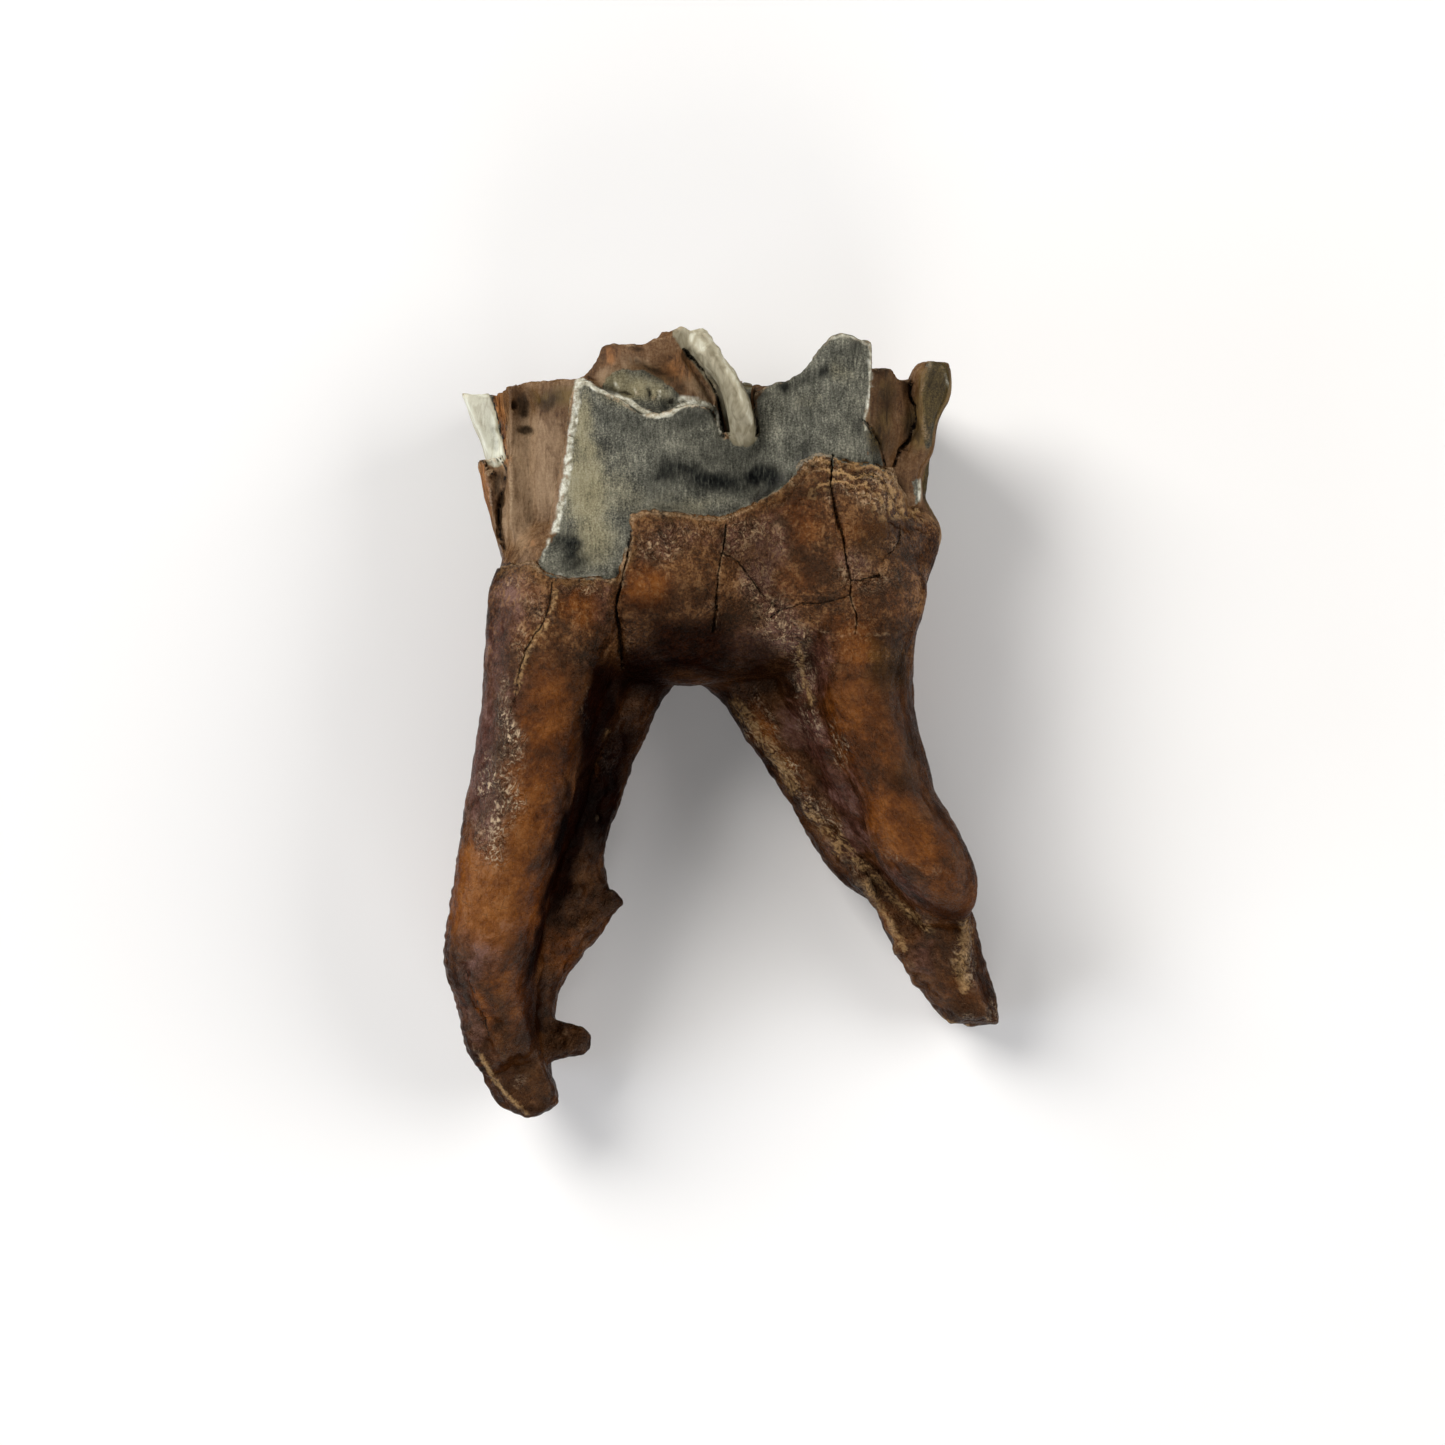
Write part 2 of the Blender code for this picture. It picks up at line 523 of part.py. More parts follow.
def evaluated(thing):
    """The mesh of an object with its modifiers, as new mesh data."""
    bpy.context.view_layer.update()
    return bpy.data.meshes.new_from_object(thing.evaluated_get(bpy.context.evaluated_depsgraph_get()))


def fused_form():
    """All lofts and walls grown into one closed skin."""
    bm = bmesh.new()
    for stations in PILLARS:
        add_pillar(bm, stations)
    add_trunk(bm)
    for points in LIMBS:
        add_limb(bm, points)
    for wall in WALLS:
        add_wall(bm, **wall)
    add_fold(bm)
    bmesh.ops.recalc_face_normals(bm, faces=bm.faces)
    mesh = bpy.data.meshes.new("form")
    bm.to_mesh(mesh)
    bm.free()
    form = bpy.data.objects.new("form", mesh)
    bpy.context.scene.collection.objects.link(form)
    remesh = form.modifiers.new("One skin", "REMESH")
    remesh.mode = "VOXEL"
    remesh.voxel_size = VOXEL
    fused = evaluated(form)
    bpy.data.objects.remove(form)
    return fused


def outer_skin(mesh):
    """Leaves out the small pockets that the walls enclose where they meet."""
    bm = bmesh.new()
    bm.from_mesh(mesh)
    unseen = set(bm.verts)
    islands = []
    while unseen:
        island = [unseen.pop()]
        for vert in island:
            for edge in vert.link_edges:
                other = edge.other_vert(vert)
                if other in unseen:
                    unseen.remove(other)
                    island.append(other)
        islands.append(island)
    islands.sort(key=len)
    bmesh.ops.delete(bm, geom=[vert for island in islands[:-1] for vert in island], context="VERTS")
    bm.to_mesh(mesh)
    bm.free()


def points_of(mesh):
    flat = np.empty(len(mesh.vertices) * 3)
    mesh.vertices.foreach_get("co", flat)
    return flat.reshape(-1, 3)


def normals_of(mesh):
    flat = np.empty(len(mesh.vertices) * 3)
    mesh.vertices.foreach_get("normal", flat)
    return flat.reshape(-1, 3)


def place_points(mesh, points):
    mesh.vertices.foreach_set("co", points.ravel())
    mesh.update()


def between(value, low, high):
    """0 below low, 1 above high, with an even slope where they meet."""
    t = np.clip((value - low) / (high - low), 0, 1)
    return t * t * (3 - 2 * t)


def soften(mesh, rounds, weight):
    """Draws every point towards the middle of its neighbours, by a weight for each point."""
    points = points_of(mesh)
    pairs = np.empty(len(mesh.edges) * 2, dtype=int)
    mesh.edges.foreach_get("vertices", pairs)
    a, b = pairs.reshape(-1, 2).T
    neighbours = np.bincount(np.concatenate([a, b]), minlength=len(points))
    for _ in range(rounds):
        middle = np.empty_like(points)
        for k in range(3):
            middle[:, k] = np.bincount(a, points[b, k], len(points))
            middle[:, k] += np.bincount(b, points[a, k], len(points))
        middle /= neighbours[:, None]
        points += (middle - points) * weight[:, None]
    place_points(mesh, points)


def distance_to_line(points, line):
    """How far points, seen from the front, are from a line."""
    nearest = np.full(len(points), FAR)
    for start, end in zip(line, line[1:]):
        start, end = np.array(start), np.array(end)
        along = end - start
        t = np.clip((points[:, :2] - start) @ along / (along @ along), 0, 1)
        gap = np.linalg.norm(points[:, :2] - start - t[:, None] * along, axis=1)
        nearest = np.minimum(nearest, gap)
    return nearest


def depth_inside(points, outline):
    """How far points, seen from the front, are inside a closed outline, negative outside."""
    inside = np.zeros(len(points), dtype=bool)
    for (x0, y0), (x1, y1) in zip(outline, [*outline[1:], outline[0]]):
        if y0 == y1:
            continue
        between_ends = (points[:, 1] > min(y0, y1)) & (points[:, 1] <= max(y0, y1))
        crossing = x0 + (points[:, 1] - y0) * (x1 - x0) / (y1 - y0)
        inside ^= between_ends & (points[:, 0] < crossing)
    edge = distance_to_line(points, [*outline, outline[0]])
    return np.where(inside, edge, -edge)


def cheek_side(points, normals):
    """1 on the cheek side, 0 on the others and down inside the crown."""
    inside_crown = between(points[:, 1], *CROWN_HEIGHT) * (1 - between(points[:, 2], *CROWN_DEPTH))
    return between(normals[:, 2], 0.0, 0.5) * (1 - inside_crown)


def smoothness(points, normals):
    """1 on the roots and the cheek side's cement, 0 on the bare crown."""
    outline = CHEEK_REGIONS[0][0]
    cement = between(depth_inside(points, outline), *SMOOTH_CEMENT) * cheek_side(points, normals)
    return np.maximum(1 - between(points[:, 1], *SHARP_CROWN), cement)


def press_relief(mesh):
    """Shapes the cheek side: the cement that stands proud, then the grooves and ridges."""
    points = points_of(mesh)
    normals = normals_of(mesh)
    facing = cheek_side(points, normals)
    rise = np.zeros(len(points))
    for outline, border, height in CHEEK_REGIONS:
        rise += height * between(depth_inside(points, outline), -border, border)
    rise *= between(points[:, 1], *CEMENT_HEIGHT)
    for line, width, height in CHEEK_RELIEF:
        samples = smooth_samples(line, RELIEF_STEP)
        rise += height * np.exp(-((distance_to_line(points, samples) / width) ** 2))
    place_points(mesh, points + normals * (rise * facing)[:, None])


def roughen(mesh):
    """The gentle unevenness of a grown surface."""
    points = points_of(mesh)
    normals = normals_of(mesh)
    rise = np.zeros(len(points))
    for size, height in LUMPS:
        rise += [height * noise.noise(Vector(p / size)) for p in points]
    place_points(mesh, points + normals * rise[:, None])


def rest_on_ground(mesh, sink=0.0):
    """Lowers the tooth a little and flattens what reaches below the ground, worn by lying there."""
    points = points_of(mesh)
    height = points[:, 2] - sink
    points[:, 2] = np.where(height < FLAT, 0, height)
    place_points(mesh, points)


def thinned(mesh, most):
    """The same skin with no more than so many triangles."""
    thing = bpy.data.objects.new("form", mesh)
    bpy.context.scene.collection.objects.link(thing)
    mesh.calc_loop_triangles()
    collapse = thing.modifiers.new("Fewer triangles", "DECIMATE")
    collapse.ratio = most / len(mesh.loop_triangles)
    collapse.use_collapse_triangulate = True
    result = evaluated(thing)
    bpy.data.objects.remove(thing)
    return result


def centre_and_scale(mesh):
    points = points_of(mesh)
    low, high = points.min(axis=0), points.max(axis=0)
    points -= ((low[0] + high[0]) / 2, (low[1] + high[1]) / 2, low[2])
    place_points(mesh, points * METRES_PER_MM)


def fossil_material():
    material = bpy.data.materials.new("fossil tooth")
    material.use_nodes = True
    shader = material.node_tree.nodes["Principled BSDF"]
    shader.inputs["Base Color"].default_value = FOSSIL_BROWN
    shader.inputs["Roughness"].default_value = FOSSIL_ROUGHNESS
    material.diffuse_color = FOSSIL_BROWN
    return material


def main():
    clear_scene()
    mesh = fused_form()
    outer_skin(mesh)
    smooth = smoothness(points_of(mesh), normals_of(mesh))
    soften(mesh, ROOT_ROUNDS, SOFT_SHARE * smooth + CROWN_SHARE)
    soften(mesh, EDGE_ROUNDS, np.full(len(smooth), SOFT_SHARE))
    press_relief(mesh)
    roughen(mesh)
    rest_on_ground(mesh, REST_SINK)
    mesh = thinned(mesh, MOST_TRIANGLES)
    rest_on_ground(mesh)
    centre_and_scale(mesh)
    mesh.polygons.foreach_set("use_smooth", [True] * len(mesh.polygons))
    mesh.name = "tooth"
    mesh.materials.append(fossil_material())
    tooth = bpy.data.objects.new("tooth", mesh)
    bpy.context.scene.collection.objects.link(tooth)


main()
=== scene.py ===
"""Looks of the fossil woolly rhino tooth: its worn skin, its finish, the floor, the lights and the camera.

The forms repeat the part's source, in millimetres: crown along +Y, roots along -Y, cheek side towards +Z.
They are shaped finer here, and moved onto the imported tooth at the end.
Places called seen are on the plane of the photograph, in millimetres from its middle, X right and Y up.
Pixel (px, py) of the photograph is the place ((px - 722) * 0.108, (722.5 - py) * 0.108).
"""

import math

import bmesh
import bpy
import numpy as np
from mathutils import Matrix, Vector, kdtree, noise
from mathutils.bvhtree import BVHTree


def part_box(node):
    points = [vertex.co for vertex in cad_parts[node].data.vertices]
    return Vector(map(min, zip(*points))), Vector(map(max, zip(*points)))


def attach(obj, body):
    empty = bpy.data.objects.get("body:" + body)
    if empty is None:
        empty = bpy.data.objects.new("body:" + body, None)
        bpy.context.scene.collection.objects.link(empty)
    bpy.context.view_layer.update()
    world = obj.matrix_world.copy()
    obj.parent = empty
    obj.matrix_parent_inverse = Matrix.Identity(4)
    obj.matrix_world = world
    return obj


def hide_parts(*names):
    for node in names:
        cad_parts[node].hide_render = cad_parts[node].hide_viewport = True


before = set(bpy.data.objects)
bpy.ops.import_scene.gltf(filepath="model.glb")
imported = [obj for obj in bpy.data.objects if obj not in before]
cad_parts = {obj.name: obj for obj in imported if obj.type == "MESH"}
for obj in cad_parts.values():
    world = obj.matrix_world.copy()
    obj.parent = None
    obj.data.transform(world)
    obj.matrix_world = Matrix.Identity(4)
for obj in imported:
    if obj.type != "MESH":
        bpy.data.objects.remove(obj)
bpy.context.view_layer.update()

METRES_PER_MM = 0.001
FAR = 1e9

# Fineness of the forms, in millimetres and in points round or up a form.
FINE_VOXEL = 0.22
RING_POINTS = 32
TRUNK_POINTS = 72
RING_STEP = 1
WALL_STEP = 0.7
WALL_LINE_STEP = 0.1
LEAST_WALL_STEPS = 4
WALL_ROWS = 14
LINE_STEP = 0.6
MOST_TRIANGLES = 192000

# Rounds of smoothing, and of feeling for hollows and worn edges, each half way to the neighbours' mean.
HALF_WAY = 0.5
ROOT_ROUNDS = 56
EDGE_ROUNDS = 3
HOLLOW_ROUNDS = 40
WORN_ROUNDS = 8

# Thickness of the crown's tissues, and how square the level cuts are: 2 is an ellipse.
ENAMEL = 2.4
DENTINE = 5.6
PILLAR_SQUARE = 2.2
COLUMN_SQUARE = 3.6
TRUNK_SQUARE = 2.6

# How deep the tooth sinks into the table before it is flattened, and what counts as flat.
REST_SINK = 0.6
FLAT = 0.05

# How lines spread: how far cracks are felt, how much skin beside them is refined, and where a crack's sides
# and a line's fade end, in half widths.
CRACK_REACH = 1.5
FINE_MARGIN = 0.55
CRACK_SPREAD = 1.5
LINE_FADE = 3

# Upward part of the normal where the cheek side starts: for shapes it is 0.
STEEPEST_SEEN = -0.35
STEEPEST_LINE = -0.10
FACING_SLOPE = 0.5
REFINED_FACING = 0.2

# The stage and the finest relief, in metres.
RELIEF_DEPTH = 0.00042
FLOOR_SIZE = 8
FLOOR_ROUGHNESS = 0.9
FLOOR_MOTTLES_PER_METRE = 40
FLOOR_GREYS = (0.86, 0.90)
LIT_POINT = (0, 0, 0.015)
ROOM_LIGHT = 0.09
LIGHTS = (
    ("key", (-0.85, 0.75, 1), 22, 0.8, (1, 0.97, 0.93)),
    ("fill", (1.15, 0.2, 0.8), 12, 1, (1, 0.98, 0.96)),
    ("low_fill", (0.2, -1.25, 0.65), 8, 1, (1, 0.98, 0.97)),
    ("cool_side", (-1.1, -0.3, 0.3), 5, 0.6, (0.78, 0.86, 1)),
)

# Each root is two pillars joined by a thin web. A station is a level cut through one of them:
# height y, left and right x, inner and cheek-side z.
MESIAL_CHEEK_PILLAR = (
    (25, -20.5, -9, 10, 19), (19, -23.2, -8, 11, 24.6), (15, -24.8, -8, 12, 26.8),
    (11, -25.1, -9.6, 12.3, 27.8), (8, -25.3, -11, 12.5, 28.2), (2, -26, -13.3, 13, 28),
    (-4, -26.8, -15.2, 13, 27.3), (-10, -27.9, -16.5, 12.5, 26.6), (-16, -28.7, -17.9, 11.5, 25.6),
    (-21, -29.5, -19.2, 10.5, 24.4), (-25.6, -30.1, -20.4, 9.5, 22.8), (-30, -29.1, -20.6, 8.5, 20.4),
    (-35, -28, -19.9, 7.5, 17.6), (-39.2, -26.4, -18.6, 6.8, 14.8), (-41.8, -24.6, -18, 7.2, 12.8),
    (-43.1, -22, -19.2, 8.8, 11.2),
)
MESIAL_TONGUE_PILLAR = (
    (18, -23, -5, 3, 15), (10, -24.4, -3.6, 1.4, 15), (5.6, -24.8, -4, 1.2, 14.8),
    (3.6, -24.8, -5.5, 1.2, 14.6), (1.2, -24.9, -7.2, 1.1, 14.4), (-1, -25, -8.4, 1, 14.1),
    (-5, -25.4, -10.1, 0.8, 13.4), (-10, -25.8, -11.9, 0.5, 12.8), (-14.6, -26.2, -13.2, 0.2, 12.2),
    (-18.6, -26.5, -12.6, 0, 11.8), (-22.4, -26.6, -12.8, -0.2, 11.2), (-25.2, -26.5, -15.2, -0.3, 10.6),
    (-28.8, -26.1, -17.6, -0.3, 10), (-32.2, -25.3, -18.3, -0.2, 9.4), (-37.3, -23.8, -19.2, 1, 8.8),
    (-41.2, -22, -18.2, 4, 10.4),
)
MESIAL_WEB = (
    (10, -25, -8, 8, 21), (0, -25.4, -12, 8, 20), (-10, -26.6, -15.8, 8, 19), (-20, -27.6, -19, 7, 17),
    (-30, -27.2, -20.2, 6, 15), (-38, -24.8, -19.8, 5, 12),
)
DISTAL_CHEEK_PILLAR = (
    (24, 8, 19, 10, 20), (18, 7, 21, 11, 25), (13, 7.6, 21.7, 12, 27), (9, 8.8, 20.6, 12.5, 27.6),
    (6, 9.8, 20.3, 12.8, 27.7), (2.5, 10.2, 20.2, 13, 27.6), (0, 10.8, 20.7, 13, 27.4),
    (-4, 12.6, 21.8, 13.5, 27.2), (-8, 14.5, 22.9, 14, 27), (-12, 15.2, 25.2, 14.5, 26.8),
    (-15.5, 17, 26.9, 14.5, 26.2), (-18.4, 19.4, 27.2, 14.5, 24.8), (-20.3, 21.7, 26.7, 15.2, 23),
    (-21.4, 23.4, 25.4, 16.8, 21),
)
DISTAL_TONGUE_PILLAR = (
    (18, 0, 20.5, 3, 15), (10, -2.6, 20.8, 1.4, 15), (5.2, -3.4, 20.2, 1.2, 14.9),
    (3.5, -1.9, 20.2, 1.2, 14.8), (1.8, 0.2, 20.3, 1.1, 14.6), (0.3, 1, 20.5, 1.1, 14.4),
    (-2, 2.4, 20.8, 1, 14.2), (-5, 4.8, 21.5, 0.8, 14), (-10, 8.1, 23, 0.5, 13.6),
    (-14.2, 10.4, 24.6, 0.3, 13.2), (-17.8, 13.2, 26.2, 0.1, 13), (-20, 16.4, 27.1, -0.1, 12.8),
    (-24.2, 18.5, 28.3, -0.3, 12.2), (-28, 20.6, 29.1, -0.3, 11.4), (-30.4, 22.4, 30, 0.2, 10.6),
    (-32.6, 24.2, 30.6, 1.4, 9.8), (-33.6, 27.2, 30.7, 3.2, 8.8),
)
DISTAL_WEB = (
    (10, 3, 20.5, 8, 21), (0, 8, 20.8, 8, 20), (-8, 12, 22.8, 8, 19), (-16, 17.4, 25.8, 8, 17.5),
    (-22, 20.6, 27.2, 7, 14.5),
)
DISTAL_COLUMN = (
    (23, 17.2, 21.4, 9, 22.6), (26.6, 18.2, 21.4, 12, 22.6), (28.8, 19, 22.3, 14, 22.8),
    (30.4, 19.4, 22.6, 14.5, 22.8), (32.4, 20.2, 23, 15, 23), (34.4, 20.3, 24.1, 15, 23.2),
    (36.4, 19.9, 24.4, 15, 23.4), (37.6, 20.3, 24.3, 15.2, 23.2), (38.4, 21, 24, 16, 22.4),
)
PILLARS = (
    MESIAL_CHEEK_PILLAR, MESIAL_TONGUE_PILLAR, MESIAL_WEB, DISTAL_CHEEK_PILLAR, DISTAL_TONGUE_PILLAR,
    DISTAL_WEB, DISTAL_COLUMN,
)

# The trunk that both roots leave, up to the floor of the crown's two basins. Its stations end with the depth
# of the furrow between the lobes, on the cheek side and on the inner side.
TRUNK = (
    (3.9, -5.6, -2.6, 10, 15.6, 0, 0), (4.5, -9.4, 2, 8, 18.6, 0.2, 0),
    (5.6, -15.6, 9.6, 5.6, 21.2, 0.8, 0.2), (7.5, -21, 15.5, 3.8, 24, 1.6, 0.8),
    (11, -24.2, 20.4, 2.6, 26.6, 2.2, 1.4), (15, -24.6, 21.9, 2, 27.4, 2.5, 1.8),
    (17.6, -23, 22.7, 1.8, 27, 2.6, 1.8), (19.2, -22, 23.3, 1.8, 26.7, 2.6, 1.8),
    (20.8, -21.6, 23.4, 1.8, 26.3, 2.6, 1.8), (22.6, -21.2, 22.5, 1.8, 25.8, 2.6, 1.8),
    (25, -21, 21.4, 1.8, 25, 2.6, 1.8), (28, -21, 20.4, 2.4, 24.2, 2.6, 1.8),
)
FURROW_X = 2.6
FURROW_WIDTH = 4.2

# Spurs and stubs on the roots: centre x, y, z and radius along a short limb.
LIMBS = (
    ((-15.5, -20.6, 6.5, 2.6), (-13, -20, 7, 1.9), (-10.8, -19.4, 7.4, 0.9)),
    ((-19.6, -34.9, 7, 2.6), (-17.2, -34.9, 7.6, 2.1), (-14.9, -34.8, 8, 1.5), (-14.2, -34.7, 8, 0.8)),
)

# Upright walls of the crown. Each follows a line in plan, x and z of its outer face, from a low level to a
# high one, and has a broken top edge given by heights along the wall. A line runs so that the tooth's
# inside is on its right, seen from above the crown.
CHEEK_ENAMEL_FRONT = dict(
    low=((-20.4, 21.6), (-14.5, 25.2), (-9, 26.4), (-4, 25.8), (0, 24.4), (3.8, 23.2)),
    high=((-15.6, 25.6), (-12.2, 27.2), (-8, 28), (-3.6, 27.6), (0.4, 26.4), (3.8, 25)), levels=(12, 37.2),
    tops=((-15.6, 36.3), (-14.2, 36.1), (-13.1, 35.1), (-11.8, 34.8), (-9.6, 33.4), (-8.2, 32.5),
     (-6.3, 32.4), (-4.1, 33.3), (-2.3, 33.5), (-1, 33), (0.2, 30.4), (3.8, 30.4)),
    along_x=True, thick=ENAMEL,
)
CHEEK_ENAMEL_BACK = dict(
    low=((2.9, 23.2), (6.4, 25.2), (10, 26.6), (13.3, 26.6), (16.6, 25.2)),
    high=((3.4, 24.8), (7, 26), (10.3, 27.2), (13.2, 27.3), (15.5, 26.5)), levels=(13, 41),
    tops=((3.8, 35), (4.9, 35.8), (6.8, 36.4), (8, 37.2), (10.8, 40.2), (11.7, 41), (13, 41), (14.7, 40.2),
     (15.5, 40.2)),
    along_x=True, thick=ENAMEL,
)
MESIAL_ENAMEL = dict(
    low=((-24.9, 8), (-25.2, 12.5), (-24.9, 17)), high=((-27.8, 8), (-28.4, 13), (-27.9, 18)),
    levels=(27.2, 35.4), tops=((0, 34), (0.5, 35.7), (1, 35.2)), thick=3,
)
DISTAL_ENAMEL = dict(
    low=((20.4, 18.5), (21.4, 14), (21.4, 9), (20, 4.4)),
    high=((23.2, 19.5), (23.9, 14), (23.4, 9), (21.8, 4.8)), levels=(22, 39),
    tops=((0, 36.6), (0.2, 37.6), (0.5, 37), (0.7, 35.6), (1, 35)), thick=ENAMEL,
)
PROTOCONID = dict(
    low=((-17.6, 21.6), (-13, 24.2), (-8, 25.2), (-3.5, 24.2), (0.2, 22.6)),
    high=((-16.2, 23), (-13, 24.8), (-8, 25.8), (-3.6, 24.8), (-0.7, 23.4)), levels=(16, 41),
    tops=((-16.2, 36.2), (-14.8, 36.7), (-14.2, 37.4), (-13.4, 38.3), (-13.2, 39.6), (-12.7, 40.2),
     (-9.9, 40), (-8.5, 40), (-6.9, 40.6), (-5.6, 41), (-5, 41.7), (-4.3, 41.9), (-3.4, 41.7), (-2.6, 39.4),
     (-1.6, 37.4), (-0.4, 35.4)),
    along_x=True, thick=7,
)
PARACONID_ARM = dict(
    low=((-22.6, 4.6), (-23.4, 10), (-22.6, 16), (-20, 20.4), (-16, 22.6)),
    high=((-23.4, 1.6), (-24, 10), (-23.4, 16.6), (-20, 21.6), (-15.8, 23.8)), levels=(14, 37),
    tops=((0, 34.6), (0.16, 36.4), (0.3, 35.2), (0.42, 36), (0.56, 35.8), (0.7, 36.3), (1, 36.3)),
    thick=DENTINE,
)
METACONID_ARM = dict(
    low=((-2.4, 23.4), (1.4, 19.4), (2.6, 12), (2.2, 4.4)),
    high=((-2.6, 23.6), (1.2, 19.4), (2.2, 12), (1.9, 1.4)), levels=(16, 37),
    tops=((0, 40), (0.1, 38.6), (0.2, 36.4), (0.35, 36.6), (0.6, 37.2), (0.8, 36.8), (1, 35.8)),
    thick=DENTINE,
)
HYPOLOPHID_ARM = dict(
    low=((2.6, 12), (2.8, 19), (5.4, 23.8)), high=((3, 12.5), (3.4, 18.5), (6, 22.6)), levels=(16, 37),
    tops=((0, 35.2), (0.4, 36.4), (0.8, 35), (1, 35.4)), thick=DENTINE,
)
HYPOCONID = dict(
    low=((4.4, 21.4), (8, 24), (12, 25.2), (16, 24.2), (21, 20.4)),
    high=((5, 22.6), (8, 24.4), (12, 25.6), (16, 24.6), (20.6, 21.6)), levels=(16, 40),
    tops=((5, 34.8), (7, 35.4), (10, 37.6), (12, 39.4), (14.4, 39), (15.4, 37.4), (17.9, 37.8),
     (18.4, 36.8), (19.2, 36.4), (20.6, 36.2)),
    along_x=True, thick=6.4,
)
ENTOCONID_ARM = dict(
    low=((18.4, 21.4), (20.4, 18), (21, 12), (20, 7.4), (18.8, 4.2)),
    high=((18.4, 21.8), (20.6, 18.2), (21.2, 12), (20.2, 6), (19.2, 1.3)), levels=(14, 38),
    tops=((0, 36.4), (0.16, 36), (0.34, 37), (0.6, 36), (0.8, 36.8), (1, 35)), thick=DENTINE,
)
TRIGONID_LINING = dict(
    low=((-18.4, 2.6), (-18.4, 10), (-17.4, 15.6), (-12.4, 19), (-7, 20), (-3.6, 17.4), (-3, 11),
     (-3.2, 3)),
    high=((-18, 3.6), (-18.6, 10), (-17.8, 15.8), (-12.4, 19.2), (-7.6, 20), (-4.2, 17.6), (-3.5, 11),
     (-3.7, 4)),
    levels=(22, 38),
    tops=((0, 34.8), (0.16, 36.9), (0.32, 36), (0.44, 37.2), (0.6, 37), (0.8, 36.9), (1, 36.2)), thick=1.7,
)
TALONID_LINING = dict(
    low=((8.2, 9), (8.3, 15.4), (10.6, 19.4), (13.6, 19.8), (15.8, 17), (15.8, 12), (13.8, 9)),
    high=((7.8, 9), (8, 15.6), (10.4, 19.4), (13.6, 19.9), (15.9, 17), (16, 12), (13.9, 9)),
    levels=(22, 38), tops=((0, 35.2), (0.3, 36.4), (0.5, 37.6), (0.75, 36.8), (1, 37)), thick=1.6,
)
METACONID_ENAMEL = dict(
    low=((3, 10), (2.8, 5.6), (0.2, 3), (-3.2, 3.2), (-4.4, 6.4)),
    high=((3.4, 10), (3, 3.4), (0.2, 0), (-3.4, 0.3), (-5, 4.4)), levels=(15, 37),
    tops=((0, 36.2), (0.3, 37.4), (0.55, 36), (0.8, 37), (1, 35.6)), thick=2,
)
ENTOCONID_ENAMEL = dict(
    low=((20.4, 7.4), (18.2, 4.6), (14.2, 3), (11.4, 4.6), (11.6, 8.4)),
    high=((21.4, 6.6), (19, 1.9), (14, -0.2), (10.4, 2.2), (11, 7.4)), levels=(15, 37),
    tops=((0, 35.2), (0.3, 36.6), (0.5, 37.4), (0.8, 36.6), (1, 35.8)), thick=2,
)
PARACONID_ENAMEL = dict(
    low=((-17.6, 8.4), (-18, 4.8), (-20.4, 3), (-22.8, 5.4), (-23.6, 9.4)),
    high=((-17.4, 7.4), (-17.8, 2), (-20.6, -0.2), (-24.2, 3.4), (-25.4, 9)), levels=(15, 36),
    tops=((0, 35.4), (0.3, 36), (0.55, 34.4), (0.75, 32), (1, 29)), thick=2,
)
CHEEK_CEMENT = dict(
    low=((12, 26.8), (14.6, 26.4), (17.2, 25), (19.4, 22.6), (21.2, 19)),
    high=((12, 27), (14.6, 26.7), (16.8, 25.5), (18.8, 23.4), (20.6, 20.2)), levels=(13, 28),
    tops=((12, 27.7), (14, 27.2), (16, 27.2), (17.5, 26.6), (18.5, 25.2), (19.2, 23.8), (21.2, 22.2)),
    along_x=True, thick=4,
)
MESIAL_SCALES = dict(
    low=((-23.6, 9), (-24, 14), (-23.7, 20)), high=((-26, 9.6), (-26.5, 14), (-26.2, 19)), levels=(17, 28),
    tops=((0, 25.4), (0.4, 28.1), (0.7, 26.6), (1, 28.1)), thick=1.8,
)
MESIAL_RIDGE = dict(
    low=((-24, 12), (-23.8, 18), (-22.4, 21.6)), high=((-24.9, 12), (-24.8, 17.5), (-23, 20.8)),
    levels=(17, 36), tops=((0, 34), (0.3, 35), (0.6, 35.2), (1, 36.1)), thick=2,
)
WALLS = (
    CHEEK_ENAMEL_FRONT, CHEEK_ENAMEL_BACK, MESIAL_ENAMEL, DISTAL_ENAMEL, PROTOCONID, PARACONID_ARM,
    METACONID_ARM, HYPOLOPHID_ARM, HYPOCONID, ENTOCONID_ARM, TRIGONID_LINING, TALONID_LINING,
    METACONID_ENAMEL, ENTOCONID_ENAMEL, PARACONID_ENAMEL, CHEEK_CEMENT, MESIAL_SCALES, MESIAL_RIDGE,
)

# The thick enamel of the fold between the lobes, broken along its length: centre, half width, half depth.
FOLD_ENAMEL = (
    (-3.3, 41.7, 22.8, 1.3, 1.3), (-2.9, 40.6, 23.4, 1.5, 1.8), (-1.5, 38.8, 24.6, 1.25, 1.9),
    (-0.2, 37.2, 25.2, 1.05, 1.9), (0.85, 35.3, 25.8, 1.15, 1.9), (1.6, 33.3, 26, 1.25, 1.7),
    (1.9, 31.6, 25.6, 1.3, 1.4), (2, 30, 24.9, 1.3, 1.25), (2, 28.4, 24, 1.1, 1),
)

